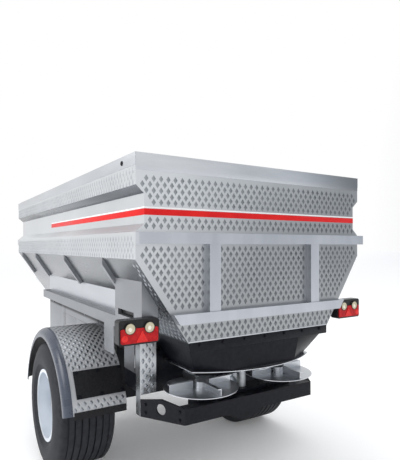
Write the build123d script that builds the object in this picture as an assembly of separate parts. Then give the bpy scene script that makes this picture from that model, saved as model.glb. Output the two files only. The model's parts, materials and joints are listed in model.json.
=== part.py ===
"""A towed salt spreader: a hollow sheet hopper on one axle, a screw in its trough and two spreading discs."""
import os
from math import cos, degrees, hypot, radians, sin, sqrt

from build123d import *

# Sizes are in millimetres. X points to the machine's right, Y forward and Z up, and the ground is at Z = 0.
# A place along the machine is a distance ahead of the hopper's rear face, turned into Y by ahead().

# Fits
SEAT = 0.3               # gap under a piece that rests on a slanted or round seat
RUN_GAP = 0.05           # radial gap of a shaft in its bearing
SLIDE_GAP = 0.5          # gap round the jack's leg in its sleeve

# Hopper
HOPPER_LENGTH = 3370.0
HOPPER_WIDTH = 1750.0
HOPPER_TOP = 2166.0
SHEET = 4.0
LIP = 30.0               # inward lip along the top edge
TOP_BAND = 170.0         # upright band above the recessed channel in each side wall
CHANNEL_HEIGHT = 248.0
CHANNEL_DEPTH = 50.0
CHANNEL_RISE = 45.0      # height of each slanted edge of the channel
LOWER_BAND = 146.0       # upright band below the channel
SLOPE_FOOT = 1126.0
FOOT_HALF = 555.0        # half the width between the slopes at their foot

# Trough and screw
SCREW_Z = 1030.0
TROUGH_RADIUS = 125.0
TROUGH_WALL = 10.0       # short upright above the round part
OUTLET_START = 80.0      # drop opening in the trough's bottom, ahead of the rear face
OUTLET_END = 420.0
OUTLET_HALF = 90.0
SCREW_RADIUS = 110.0
SHAFT_RADIUS = 30.0
FLIGHT_PITCH = 220.0
FLIGHT_SHEET = 5.0
FLIGHT_START = 60.0
FLIGHT_END_GAP = 60.0    # from the flight's end to the front wall
BEARING_RADIUS = 50.0
BEARING_LENGTH = 30.0
SHAFT_HOLE_GAP = 6.0     # gap round the shaft in the front wall
HOOD_RADIUS = 150.0
HOOD_LENGTH = 476.0
ROD_X = 240.0            # long rods beside the screw
ROD_RADIUS = 10.0
ROD_RISE = 30.0          # rod above the floor panel
PIN_RADIUS = 4.0
PIN_LENGTH = 120.0
PIN_STEP = 560.0

# Bars on the end walls
UPPER_BAR_RISE = 82.0    # above the foot of the upright walls
LOWER_BAR_RISE = 116.0   # above the foot of the slopes
UPPER_BAR_HEIGHT = 62.0
LOWER_BAR_HEIGHT = 59.0
BAR_DEPTH = 50.0
UPRIGHT_X = 400.0
UPRIGHT_WIDTH = 76.0
UPRIGHT_DEPTH = 40.0

# Ribs under the overhang
RIB_PLACES = (530.0, 1400.0, 2450.0, 3150.0)
RIB_WIDTH = 40.0
RIB_DEPTH = 24.0

# Chassis
BEAM_IN = 400.0
BEAM_WIDTH = 80.0
BEAM_FOOT = 860.0
BEAM_START = 470.0
BEAM_FRONT_GAP = 70.0    # beam's end behind the hopper's front face
CROSS_SIZE = 120.0
CROSS_WIDTH = 80.0
CROSS_PLACES = (600.0, 2100.0, 3200.0)

# Skirt, rails and rear columns
SKIRT_X = 727.0
SKIRT_SHEET = 3.0
SKIRT_END = 2480.0
SKIRT_JOINT = 1400.0
SKIRT_JOINT_GAP = 2.0
RAIL_CLEAR = 125.0       # rail's foot above the mudguard's crest
RAIL_HEIGHT = 70.0
RAIL_IN = 700.0
RAIL_OUT = 790.0
PANEL_X = 610.0          # outer face of the lower panels, inside the mudguards
PANEL_DROP = 165.0       # lower panel below the rail
PANEL_REAR_FOOT = 820.0  # its rear stretch reaches lower
PANEL_REAR_END = 800.0
POST_START = 540.0       # short upright plate that hangs from the rail
POST_LENGTH = 170.0
POST_DROP = 180.0
POST_SHEET = 5.0
COLUMN_WIDTH = 100.0
COLUMN_START = 110.0
COLUMN_LENGTH = 400.0
SLOT_RISE = 37.0         # middle of the slot in the column's outer face, above the rail
SLOT_HEIGHT = 36.0
SLOT_DEPTH = 30.0
SLOT_MARGIN = 50.0
SLOT_LENGTH = 240.0
LEG_AHEAD = 400.0        # folded legs under the slopes
LEG_IN = 558.0
LEG_OUT = 670.0
LEG_FOOT = 745.0
LEG_SHEET = 4.0
LEG_FLANGE = 60.0
LEG_EDGE_FOOT = 612.0    # the outer flange reaches lower than the leg's face
SIDE_BLOCK_FOOT = 870.0  # black blocks between the beams and the legs
SIDE_BLOCK_HEIGHT = 120.0
SIDE_BLOCK_LENGTH = 110.0
OUTRIGGER_SHEET = 10.0
OUTRIGGER_DEPTH = 46.0
OUTRIGGER_ROOT = 950.0
OUTRIGGER_DROP = 30.0    # root's upper corner below the beam's top
OUTRIGGER_KNEE = 65.0    # knee outside the slope's foot
OUTRIGGER_PLACES = (620.0, 1347.0, 2350.0)

# Wheels
TYRE_OD = 930.0
TYRE_WIDTH = 438.0
WHEEL_X = 835.0
BEAD_RADIUS = 250.0
RIM_HALF = 185.0
FLANGE_RADIUS = 265.0
FLANGE_SHEET = 10.0
BARREL_SHEET = 9.0
HUB_RADIUS = 85.0
STUB_RADIUS = 30.0
HAND_HOLES = 10
HAND_HOLE_RADIUS = 22.0
HAND_HOLE_CIRCLE = 190.0

# Axle
AXLE_AHEAD = 1347.0
AXLE_SIZE = 100.0
AXLE_HALF = 560.0
HANGER_LENGTH = 140.0
STUB_END_GAP = 9.0

# Mudguards: one arc about a line below the axle
GUARD_RADIUS = 650.0
GUARD_DROP = 75.0        # arc's centre below the axle
GUARD_SHEET = 3.0
GUARD_IN = 620.0
GUARD_OUT = 1042.0
GUARD_ROLL = 50.0        # radius of the rolled outer edge
GUARD_LIP = 14.0         # straight lip below the roll, and along the inner edge
GUARD_REAR = 16.0        # degrees above the centre's level where the arc ends at the rear
GUARD_FRONT = 12.0
BRACKET_RADIUS = 18.0
BRACKET_SPREAD = 250.0
BRACKET_END_GAP = 80.0
FLAP_RISE = 33.0         # degrees at the middle of the black plate on the arc
FLAP_HEIGHT = 190.0
FLAP_WIDTH = 340.0
FLAP_SHEET = 4.0
TRIM_HEIGHT = 45.0       # rubber trim across the arc's rear end
TRIM_LAP = 20.0
TRIM_SHEET = 6.0
TRIM_MARGIN = 8.0

# Rear lamps
LAMP_IN = 715.0
LAMP_OUT = 950.0
LAMP_Z = 1215.0
LAMP_HEIGHT = 134.0
LAMP_DEPTH = 60.0
LAMP_ROUND = 16.0
LENS_DEPTH = 8.0
LENS_RADIUS = 28.0
LENS_RISE = 21.0
LENS_SPREAD = 56.0
LENS_GAP = 3.0
RED_MARGIN = 10.0
RED_ROUND = 10.0
LAMP_BRACKET_HEIGHT = 110.0
LAMP_BRACKET_IN = 700.0
LAMP_BRACKET_OUT = 915.0
LAMP_BRACKET_SHEET = 6.0

# Metering box
METER_FOOT = 930.0
METER_FOOT_HALF = 450.0
METER_LENGTH = 450.0
METER_TOP_FACET = 300.0  # half the width of the flat middle of its rear side, at the top and at the foot
METER_FOOT_FACET = 250.0
METER_CUT = 120.0        # how far its rear corners are drawn forward at the foot
RIM_PLATE = 4.0
RIM_REACH = 22.0
RIM_START = 100.0        # ends of the rim plate's bowed rear edge
RIM_BOW = 145.0          # and how far its middle lies behind them

# Spreading discs and their gearbox
DISC_RADIUS = 238.0
DISC_X = 320.0
DISC_AHEAD = 245.0
DISC_Z = 785.0
DISC_SHEET = 4.0
DISC_HUB_RADIUS = 42.0
DISC_HUB_HEIGHT = 36.0
DISC_SHAFT_RADIUS = 15.0
DISC_SHAFT_DEPTH = 40.0  # shaft inside the gearbox
VANES = 4
VANE_IN = 60.0
VANE_OUT = 226.0
VANE_HEIGHT = 44.0
VANE_SHEET = 5.0
VANE_FLANGE = 22.0
GEARBOX_HALF = 380.0
GEARBOX_LENGTH = 120.0
GEARBOX_FOOT = 655.0
GEARBOX_TOP = 735.0
MOTOR_HALF = 200.0
MOTOR_DROP = 120.0
ARM_X = 200.0
ARM_WIDTH = 60.0
TUBE_RADIUS = 30.0
TUBE_TOP = 886.0

# Rear bar and its arms
REAR_BAR_HALF = 513.0
REAR_BAR_DEPTH = 70.0
REAR_BAR_FOOT = 620.0
REAR_BAR_HEIGHT = 95.0
ARM_START = 112.0        # rear end of the arms, on the bar's end faces
ARM_END = 395.0          # and front end, on the legs' outer flanges
ARM_SLICE = 25.0         # plate's thickness measured along the machine
ARM_CREST = 30.0         # rise of the top edge at mid length
ARM_HOLE_RADIUS = 34.0

# Front gearbox and drive stub
DRIVE_HALF = 90.0
DRIVE_HEIGHT = 200.0
DRIVE_LENGTH = 150.0
DRIVE_BORE = 60.0
DRIVE_STUB_RADIUS = 17.5
DRIVE_STUB_LENGTH = 80.0

# Drawbar, tow eye and jack
DRAWBAR_SIZE = 120.0
DRAWBAR_START = 2000.0
EYE_AHEAD = 4620.0
EYE_RADIUS = 60.0
EYE_BORE = 25.0
EYE_HEIGHT = 30.0
EYE_SHANK = 60.0
EYE_FLANGE = 20.0
EYE_REACH = 120.0        # from the flange's front face to the eye's centre
JACK_AHEAD = 3760.0
JACK_SLEEVE = 70.0
JACK_WALL = 4.0
JACK_PLATE = 15.0
JACK_PLATE_LENGTH = 100.0
SLEEVE_FOOT = 480.0
SLEEVE_TOP = 1180.0
LEG_TOP = 800.0
FOOT_SIZE = 160.0
FOOT_SHEET = 8.0
CRANK_RADIUS = 8.0
CRANK_ARM = 120.0
CRANK_GRIP = 90.0

# Places worked out from the sizes above
REAR_REACH = BAR_DEPTH   # the upper bar is the rearmost piece
REAR_Y = (REAR_REACH - EYE_AHEAD - EYE_RADIUS) / 2
HALF = HOPPER_WIDTH / 2
CHANNEL_TOP = HOPPER_TOP - TOP_BAND
CHANNEL_FOOT = CHANNEL_TOP - CHANNEL_HEIGHT
WALL_FOOT = CHANNEL_FOOT - LOWER_BAND        # where the upright walls end and the slopes begin
UPPER_BAR = (WALL_FOOT + UPPER_BAR_RISE, WALL_FOOT + UPPER_BAR_RISE + UPPER_BAR_HEIGHT)
LOWER_BAR = (SLOPE_FOOT + LOWER_BAR_RISE, SLOPE_FOOT + LOWER_BAR_RISE + LOWER_BAR_HEIGHT)
AXLE_Z = TYRE_OD / 2
BEAM_OUT = BEAM_IN + BEAM_WIDTH
GUARD_Z = AXLE_Z - GUARD_DROP
RAIL_FOOT = GUARD_Z + GUARD_RADIUS + RAIL_CLEAR
RAIL_TOP = RAIL_FOOT + RAIL_HEIGHT
PANEL_FOOT = RAIL_FOOT - PANEL_DROP


def ahead(distance):
    """Return the Y of a place that far ahead of the hopper's rear face."""
    return REAR_Y + distance


FRONT_Y = ahead(HOPPER_LENGTH)
AXLE_Y = ahead(AXLE_AHEAD)
DISC_Y = ahead(DISC_AHEAD)
CROSS_FOOT = BEAM_FOOT - CROSS_SIZE
DRAWBAR_Z = CROSS_FOOT - DRAWBAR_SIZE / 2
METER_Y = ahead(METER_LENGTH)


# Helpers that make the plain solids

def prism_x(points, low, high):
    """Extrude a (y, z) outline between two X planes."""
    return extrude(Plane.YZ.offset(low) * make_face(Polyline(*points, close=True)), high - low)


def prism_y(points, low, high):
    """Extrude an (x, z) outline between two Y planes."""
    return extrude(Plane.XZ.offset(-high) * make_face(Polyline(*points, close=True)), high - low)


def prism_z(points, low, high):
    """Extrude an (x, y) outline between two Z planes."""
    return extrude(Plane.XY.offset(low) * make_face(Polyline(*points, close=True)), high - low)


def block(x, y, z):
    """Make a box from (low, high) pairs."""
    return prism_z([(x[0], y[0]), (x[1], y[0]), (x[1], y[1]), (x[0], y[1])], *z)


def rod(start, end, radius):
    """Make a round bar between two points."""
    axis = Vector(*end) - Vector(*start)
    return extrude(Plane(origin=start, z_dir=axis) * Circle(radius), axis.length)


def to_left(solid):
    """Return the same piece on the machine's left side."""
    return mirror(solid, about=Plane.YZ)


def inner_line(points, thickness):
    """Offset an open outline to its right-hand side, with mitred corners."""
    normals = []
    for (x0, z0), (x1, z1) in zip(points, points[1:]):
        length = hypot(x1 - x0, z1 - z0)
        normals.append(((z1 - z0) / length, (x0 - x1) / length))
    pairs = zip([normals[0]] + normals, normals + [normals[-1]])
    line = []
    for (x, z), ((ax, az), (bx, bz)) in zip(points, pairs):
        share = thickness / (1 + ax * bx + az * bz)
        line.append((x + (ax + bx) * share, z + (az + bz) * share))
    return line


# Hopper section: outer corners of the right half, from the lip at the top to the round of the trough

SECTION_OUT = [
    (HALF - LIP, HOPPER_TOP),
    (HALF, HOPPER_TOP),
    (HALF, CHANNEL_TOP),
    (HALF - CHANNEL_DEPTH, CHANNEL_TOP - CHANNEL_RISE),
    (HALF - CHANNEL_DEPTH, CHANNEL_FOOT + CHANNEL_RISE),
    (HALF, CHANNEL_FOOT),
    (HALF, WALL_FOOT),
    (FOOT_HALF, SLOPE_FOOT),
    (TROUGH_RADIUS + SHEET, SCREW_Z + TROUGH_WALL),
    (TROUGH_RADIUS + SHEET, SCREW_Z),
]
SECTION_IN = inner_line(SECTION_OUT, SHEET)
WALL_CORNERS = slice(0, 7)
SLOPE_CORNERS = slice(6, 8)
FLOOR_CORNERS = slice(7, 9)


def slope_z(x):
    """Return the height of the slope's outer face at a distance from the middle."""
    return WALL_FOOT - (HALF - x) / (HALF - FOOT_HALF) * (WALL_FOOT - SLOPE_FOOT)


def floor_z(x):
    """Return the height of the floor panel's underside at a distance from the middle."""
    (x0, z0), (x1, z1) = SECTION_OUT[FLOOR_CORNERS]
    return z1 + (x - x1) / (x0 - x1) * (z0 - z1)


def floor_top(x):
    """Return the height of the floor panel's upper face at a distance from the middle."""
    (x0, z0), (x1, z1) = SECTION_IN[FLOOR_CORNERS]
    return z1 + (x - x1) / (x0 - x1) * (z0 - z1)


BEAM_TOP = floor_z(BEAM_IN) - SEAT


def hopper_panel(corners):
    """Extrude a stretch of the hopper's section between the end walls, on the right side."""
    outline = SECTION_OUT[corners] + SECTION_IN[corners][::-1]
    return prism_y(outline, ahead(SHEET), FRONT_Y - SHEET)


def both_halves(points):
    """Close a right-half outline with its mirror image."""
    return points + [(-x, z) for x, z in reversed(points)]


def trough_face(radius, edge):
    """Outline of the trough's round and short uprights, at one of its two faces."""
    left = (-radius, SCREW_Z)
    right = (radius, SCREW_Z)
    return [
        Line((-edge[0], edge[1]), left),
        ThreePointArc(left, (0, SCREW_Z - radius), right),
        Line(right, edge),
    ]


def trough():
    """Round-bottomed channel under the screw, with the drop opening cut in its bottom."""
    edge_out = SECTION_OUT[8]
    edge_in = SECTION_IN[8]
    lines = trough_face(TROUGH_RADIUS + SHEET, edge_out) + trough_face(TROUGH_RADIUS, edge_in)
    lines.append(Line(edge_out, edge_in))
    lines.append(Line((-edge_out[0], edge_out[1]), (-edge_in[0], edge_in[1])))
    face = make_face(lines)
    length = HOPPER_LENGTH - 2 * SHEET
    channel = extrude(Plane.XZ.offset(SHEET - FRONT_Y) * face, length)
    outlet = block(
        (-OUTLET_HALF, OUTLET_HALF),
        (ahead(OUTLET_START), ahead(OUTLET_END)),
        (SCREW_Z - 2 * TROUGH_RADIUS, SCREW_Z),
    )
    return channel - outlet


def end_lip(low, high):
    """Inward lip at the top of an end wall."""
    return block((-HALF + LIP, HALF - LIP), (low, high), (HOPPER_TOP - SHEET, HOPPER_TOP))


def rear_wall():
    """Rear wall, notched at its ends where the side channels meet it."""
    plate = prism_y(both_halves(SECTION_OUT[1:8]), REAR_Y, ahead(SHEET))
    return plate + end_lip(REAR_Y, ahead(LIP))


def hopper_outline():
    """Face of the whole hopper's outer outline, down to the trough's round."""
    points = SECTION_OUT[1:]
    right = Polyline(*points)
    left = Polyline(*[(-x, z) for x, z in points])
    round_end = points[-1]
    foot = (0, SCREW_Z - TROUGH_RADIUS - SHEET)
    arc = ThreePointArc(round_end, foot, (-round_end[0], round_end[1]))
    top = Line(points[0], (-points[0][0], points[0][1]))
    return make_face([right, arc, left, top])


def hopper_body(low, high):
    """Solid of the hopper's outer outline between two Y planes."""
    return extrude(Plane.XZ.offset(-high) * hopper_outline(), high - low)


def front_wall():
    """Front wall, closing the trough too, with a hole for the screw's shaft."""
    plate = hopper_body(FRONT_Y - SHEET, FRONT_Y)
    hole = rod((0, FRONT_Y - 2 * SHEET, SCREW_Z), (0, FRONT_Y + SHEET, SCREW_Z), SHAFT_RADIUS + SHAFT_HOLE_GAP)
    return plate + end_lip(FRONT_Y - LIP, FRONT_Y) - hole


def cross_bars(low, high):
    """Upper and lower bar across an end wall."""
    bars = []
    for foot, top in (UPPER_BAR, LOWER_BAR):
        ends = [min(HALF, FOOT_HALF + (z - SLOPE_FOOT) / (WALL_FOOT - SLOPE_FOOT) * (HALF - FOOT_HALF))
                for z in (foot, top)]
        outline = [(-ends[0], foot), (ends[0], foot), (ends[1], top), (-ends[1], top)]
        bars.append(prism_y(outline, low, high))
    return bars


def rear_uprights():
    """Upright bars between the rear cross bars."""
    half = UPRIGHT_WIDTH / 2
    return [
        block((side - half, side + half), (REAR_Y - UPRIGHT_DEPTH, REAR_Y), (LOWER_BAR[1], UPPER_BAR[0]))
        for side in (-UPRIGHT_X, UPRIGHT_X)
    ]


def side_ribs():
    """Short ribs on the slopes, from the wall's foot to the skirt."""
    run = (HALF - FOOT_HALF, WALL_FOOT - SLOPE_FOOT)
    length = hypot(*run)
    out = (run[1] / length * RIB_DEPTH, -run[0] / length * RIB_DEPTH)
    top = (HALF, WALL_FOOT)
    foot = (SKIRT_X, slope_z(SKIRT_X))
    outline = [top, foot, (foot[0] + out[0], foot[1] + out[1]), (HALF, WALL_FOOT - RIB_DEPTH * length / run[0])]
    ribs = []
    for place in RIB_PLACES:
        middle = ahead(place)
        rib = prism_y(outline, middle - RIB_WIDTH / 2, middle + RIB_WIDTH / 2)
        ribs += [rib, to_left(rib)]
    return ribs


# Chassis

def beam():
    """Right chassis beam, under the floor panel."""
    length = (ahead(BEAM_START), FRONT_Y - BEAM_FRONT_GAP)
    return block((BEAM_IN, BEAM_OUT), length, (BEAM_FOOT, BEAM_TOP))


def cross_members():
    """Cross members under the two beams."""
    half = CROSS_WIDTH / 2
    return [
        block((-BEAM_OUT, BEAM_OUT), (ahead(place) - half, ahead(place) + half), (CROSS_FOOT, BEAM_FOOT))
        for place in CROSS_PLACES
    ]


def outriggers():
    """Gusset plates that carry the side rails from the beams."""
    knee = FOOT_HALF + OUTRIGGER_KNEE
    end = SKIRT_X - SKIRT_SHEET
    outline = [
        (BEAM_OUT, OUTRIGGER_ROOT),
        (BEAM_OUT, BEAM_TOP - OUTRIGGER_DROP),
        (knee, RAIL_FOOT),
        (end, RAIL_FOOT),
        (end, RAIL_FOOT - OUTRIGGER_DEPTH),
        (knee, RAIL_FOOT - OUTRIGGER_DEPTH),
    ]
    plates = []
    for place in OUTRIGGER_PLACES:
        middle = ahead(place)
        plate = prism_y(outline, middle - OUTRIGGER_SHEET / 2, middle + OUTRIGGER_SHEET / 2)
        plates += [plate, to_left(plate)]
    return plates


def side_rails():
    """Lengthwise ledges at the skirt's foot, each with a short plate hanging from its outer edge."""
    start = ahead(COLUMN_START)
    rail = block((RAIL_IN, RAIL_OUT), (start, ahead(SKIRT_END)), (RAIL_FOOT, RAIL_TOP))
    post = block((RAIL_OUT - POST_SHEET, RAIL_OUT), (ahead(POST_START), ahead(POST_START + POST_LENGTH)),
                 (RAIL_FOOT - POST_DROP, RAIL_FOOT))
    rail = rail + post
    return [rail, to_left(rail)]


def skirt_panels():
    """Upright skirt sheets between the rail and the slope, in two lengths on each side."""
    inside = SKIRT_X - SKIRT_SHEET
    outline = [(inside, RAIL_TOP), (SKIRT_X, RAIL_TOP), (SKIRT_X, slope_z(SKIRT_X) - SEAT),
               (inside, slope_z(inside) - SEAT)]
    start = ahead(COLUMN_START + COLUMN_LENGTH)
    joint = ahead(SKIRT_JOINT)
    panels = []
    for low, high in ((start, joint), (joint + SKIRT_JOINT_GAP, ahead(SKIRT_END))):
        panel = prism_y(outline, low, high)
        panels += [panel, to_left(panel)]
    return panels


def lower_panels():
    """Plain sheets below the rails, in lengths between the outriggers, with a deeper stretch behind the mudguard."""
    half = OUTRIGGER_SHEET / 2
    ends = [LEG_AHEAD + LEG_FLANGE + SIDE_BLOCK_LENGTH]
    for place in OUTRIGGER_PLACES:
        ends += [place - half, place + half]
    ends.append(SKIRT_END)
    panels = []
    for low, high in zip(ends[::2], ends[1::2]):
        sheet = (PANEL_X - SKIRT_SHEET, PANEL_X)
        panel = block(sheet, (ahead(low), ahead(high)), (PANEL_FOOT, RAIL_FOOT))
        if low < PANEL_REAR_END:
            panel += block(sheet, (ahead(low), ahead(min(high, PANEL_REAR_END))), (PANEL_REAR_FOOT, PANEL_FOOT))
        panels += [panel, to_left(panel)]
    return panels


def rear_column():
    """Right rear column: a box with a slot, on the rail's end."""
    inside = RAIL_OUT - COLUMN_WIDTH
    outline = [
        (inside, RAIL_TOP),
        (RAIL_OUT, RAIL_TOP),
        (RAIL_OUT, slope_z(RAIL_OUT) - SEAT),
        (inside, slope_z(inside) - SEAT),
    ]
    front = ahead(COLUMN_START + COLUMN_LENGTH)
    slot_z = RAIL_TOP + SLOT_RISE
    slot = block(
        (RAIL_OUT - SLOT_DEPTH, RAIL_OUT + SLOT_DEPTH),
        (front - SLOT_MARGIN - SLOT_LENGTH, front - SLOT_MARGIN),
        (slot_z - SLOT_HEIGHT / 2, slot_z + SLOT_HEIGHT / 2),
    )
    return prism_y(outline, ahead(COLUMN_START), front) - slot


def rear_legs():
    """Folded legs under the slopes, open to the front, each with a long outer flange."""
    rear = ahead(LEG_AHEAD)
    leg = None
    for low, high, foot, depth in (
        (LEG_IN, LEG_OUT, LEG_FOOT, LEG_SHEET),
        (LEG_IN, LEG_IN + LEG_SHEET, LEG_FOOT, LEG_FLANGE),
        (LEG_OUT - LEG_SHEET, LEG_OUT, LEG_EDGE_FOOT, LEG_FLANGE),
    ):
        outline = [(low, foot), (high, foot), (high, slope_z(high) - SEAT), (low, slope_z(low) - SEAT)]
        fold = prism_y(outline, rear, rear + depth)
        leg = fold if leg is None else leg + fold
    return [leg, to_left(leg)]


def side_blocks():
    """Black blocks between the beams and the legs' flanges."""
    start = ahead(LEG_AHEAD + LEG_FLANGE)
    side = block((BEAM_OUT, PANEL_X), (start, start + SIDE_BLOCK_LENGTH),
                 (SIDE_BLOCK_FOOT, SIDE_BLOCK_FOOT + SIDE_BLOCK_HEIGHT))
    return [side, to_left(side)]


def axle_beam():
    """Square axle with a round stub for each hub."""
    half = AXLE_SIZE / 2
    beam_part = block((-AXLE_HALF, AXLE_HALF), (AXLE_Y - half, AXLE_Y + half), (AXLE_Z - half, AXLE_Z + half))
    end = WHEEL_X + HUB_OUT - HUB_CAP - STUB_END_GAP
    return beam_part + rod((-end, AXLE_Y, AXLE_Z), (end, AXLE_Y, AXLE_Z), STUB_RADIUS)


def axle_hangers():
    """Blocks between the axle and the beams."""
    half = HANGER_LENGTH / 2
    hanger = block((BEAM_IN, BEAM_OUT), (AXLE_Y - half, AXLE_Y + half), (AXLE_Z + AXLE_SIZE / 2, BEAM_FOOT))
    return [hanger, to_left(hanger)]


# Wheels: profiles are (distance outward from the wheel's middle, radius)

HUB_IN = -60.0
HUB_OUT = 130.0
HUB_CAP = 30.0
DISH_RIM = 70.0          # where the wheel plate meets the barrel
DISH_HUB = 25.0          # where it meets the hub
DISH_SHEET = 14.0
DISH_FLAT = 140.0        # radius of the flat round the hub
BULGE_RADIUS = 345.0
SHOULDER_X = 200.0
SHOULDER_RADIUS = 430.0
SHOULDER_ROUND = 5.0     # bulge of the rounded shoulder outside its chord
CROWN_HALF = 172.0


def turned(lines):
    """Turn a closed profile of lines and arcs round the right wheel's axis."""
    plane = Plane(origin=(WHEEL_X, AXLE_Y, AXLE_Z), x_dir=(1, 0, 0), z_dir=(0, -1, 0))
    axis = Axis((WHEEL_X, AXLE_Y, AXLE_Z), (1, 0, 0))
    return revolve(plane * make_face(lines), axis)


def tyre():
    """Right tyre, with bulged sides and rounded shoulders."""
    bulge = TYRE_WIDTH / 2
    radius = TYRE_OD / 2
    flange = FLANGE_RADIUS + SEAT
    side = []
    for sign in (1, -1):
        side += [
            Line((sign * (RIM_HALF - SEAT), BEAD_RADIUS), (sign * (RIM_HALF - SEAT), flange)),
            ThreePointArc((sign * (RIM_HALF - SEAT), flange), (sign * bulge, BULGE_RADIUS),
                          (sign * SHOULDER_X, SHOULDER_RADIUS)),
            ThreePointArc((sign * SHOULDER_X, SHOULDER_RADIUS),
                          (sign * ((SHOULDER_X + CROWN_HALF) / 2 + SHOULDER_ROUND),
                           (SHOULDER_RADIUS + radius) / 2 + SHOULDER_ROUND),
                          (sign * CROWN_HALF, radius)),
        ]
    tread = Line((-CROWN_HALF, radius), (CROWN_HALF, radius))
    bore = Line((SEAT - RIM_HALF, BEAD_RADIUS), (RIM_HALF - SEAT, BEAD_RADIUS))
    return turned(side + [tread, bore])


def rim():
    """Right rim: barrel, flanges, dished plate with hand holes, and hub with its cap."""
    edge = RIM_HALF + FLANGE_SHEET
    out = BEAD_RADIUS - SEAT
    inside = out - BARREL_SHEET
    bore = STUB_RADIUS + RUN_GAP
    outline = [
        (-edge, inside), (-edge, FLANGE_RADIUS), (-RIM_HALF, FLANGE_RADIUS), (-RIM_HALF, out),
        (RIM_HALF, out), (RIM_HALF, FLANGE_RADIUS), (edge, FLANGE_RADIUS), (edge, inside),
        (DISH_RIM + DISH_SHEET, inside), (DISH_HUB + DISH_SHEET, DISH_FLAT), (DISH_HUB + DISH_SHEET, HUB_RADIUS),
        (HUB_OUT - HUB_CAP, HUB_RADIUS), (HUB_OUT, HUB_RADIUS - HUB_CAP), (HUB_OUT, 0), (HUB_OUT - HUB_CAP, 0),
        (HUB_OUT - HUB_CAP, bore), (HUB_IN, bore), (HUB_IN, HUB_RADIUS), (DISH_HUB, HUB_RADIUS),
        (DISH_HUB, DISH_FLAT), (DISH_RIM, inside),
    ]
    wheel = turned(Polyline(*outline, close=True))
    for number in range(HAND_HOLES):
        angle = radians(360 / HAND_HOLES * number)
        y = AXLE_Y + HAND_HOLE_CIRCLE * cos(angle)
        z = AXLE_Z + HAND_HOLE_CIRCLE * sin(angle)
        wheel -= rod((WHEEL_X, y, z), (WHEEL_X + RIM_HALF, y, z), HAND_HOLE_RADIUS)
    return wheel


# Mudguards

def guard_plane(rise, radius, x):
    """Plane that touches the mudguard's arc at some degrees up its rear side, facing outwards."""
    out = (0, -cos(radians(rise)), sin(radians(rise)))
    origin = (x, AXLE_Y + radius * out[1], GUARD_Z + radius * out[2])
    return Plane(origin=origin, x_dir=(1, 0, 0), z_dir=out)


def guard_section(radius):
    """One face of the mudguard's section: across the crown, round the rolled edge and down its lip."""
    inset = GUARD_RADIUS - radius
    roll = GUARD_ROLL - inset
    start = GUARD_OUT - GUARD_ROLL
    edge = GUARD_OUT - inset
    level = radius - roll
    middle = (start + roll * sin(radians(45)), level + roll * cos(radians(45)))
    return [
        Line((GUARD_IN, radius), (start, radius)),
        ThreePointArc((start, radius), middle, (edge, level)),
        Line((edge, level), (edge, level - GUARD_LIP)),
    ]


def mudguard():
    """Right mudguard: a rolled section turned through an arc over the wheel."""
    lines = guard_section(GUARD_RADIUS) + guard_section(GUARD_RADIUS - GUARD_SHEET)
    foot = GUARD_RADIUS - GUARD_ROLL - GUARD_LIP
    lines.append(Line((GUARD_IN, GUARD_RADIUS), (GUARD_IN, GUARD_RADIUS - GUARD_SHEET)))
    lines.append(Line((GUARD_OUT, foot), (GUARD_OUT - GUARD_SHEET, foot)))
    rise = radians(GUARD_REAR)
    plane = Plane(origin=(0, AXLE_Y, GUARD_Z), x_dir=(1, 0, 0), z_dir=(0, -sin(rise), -cos(rise)))
    axis = Axis((0, AXLE_Y, GUARD_Z), (-1, 0, 0))
    return revolve(plane * make_face(lines), axis, 180 - GUARD_REAR - GUARD_FRONT)


def guard_brackets():
    """Round bars from the beams, under the crown of each mudguard."""
    reach = GUARD_RADIUS - GUARD_SHEET - BRACKET_RADIUS - SEAT
    z = GUARD_Z + sqrt(reach ** 2 - BRACKET_SPREAD ** 2)
    bars = []
    for place in (AXLE_Y - BRACKET_SPREAD, AXLE_Y + BRACKET_SPREAD):
        bar = rod((BEAM_OUT, place, z), (GUARD_OUT - BRACKET_END_GAP, place, z), BRACKET_RADIUS)
        bars += [bar, to_left(bar)]
    return bars


def flap_panels():
    """Flat black plates on the rear of the mudguards."""
    middle = GUARD_IN + FLAP_WIDTH / 2
    seat = guard_plane(FLAP_RISE, GUARD_RADIUS + SEAT, middle)
    plate = extrude(seat * Rectangle(FLAP_WIDTH, FLAP_HEIGHT), FLAP_SHEET)
    return [plate, to_left(plate)]


def flap_strips():
    """Rubber trims across the rear ends of the mudguards."""
    low = GUARD_IN + TRIM_MARGIN
    high = GUARD_OUT - GUARD_ROLL - TRIM_MARGIN
    seat = guard_plane(GUARD_REAR + degrees(TRIM_LAP / 2 / GUARD_RADIUS), GUARD_RADIUS + SEAT, (low + high) / 2)
    drop = (TRIM_HEIGHT - TRIM_LAP) / 2
    trim = extrude(seat * Pos(0, -drop) * Rectangle(high - low, TRIM_HEIGHT), TRIM_SHEET)
    return [trim, to_left(trim)]


# Lamps

LAMP_BACK = ahead(COLUMN_START - LAMP_BRACKET_SHEET)
LAMP_FACE = LAMP_BACK - LAMP_DEPTH


def lamp_housing():
    """Right lamp's housing, with rounded edges."""
    half = LAMP_HEIGHT / 2
    case = block((LAMP_IN, LAMP_OUT), (LAMP_FACE, LAMP_BACK), (LAMP_Z - half, LAMP_Z + half))
    return fillet(case.edges().filter_by(Axis.Y), LAMP_ROUND)


def lamp_discs(radius):
    """The right lamp's two round shapes in front of its face, at some radius."""
    middle = (LAMP_IN + LAMP_OUT) / 2
    z = LAMP_Z + LENS_RISE
    return [rod((x, LAMP_FACE - LENS_DEPTH, z), (x, LAMP_FACE, z), radius)
            for x in (middle - LENS_SPREAD, middle + LENS_SPREAD)]


def round_lenses():
    """Two round lenses in the upper half of each lamp."""
    return [side for lens in lamp_discs(LENS_RADIUS) for side in (lens, to_left(lens))]


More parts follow.
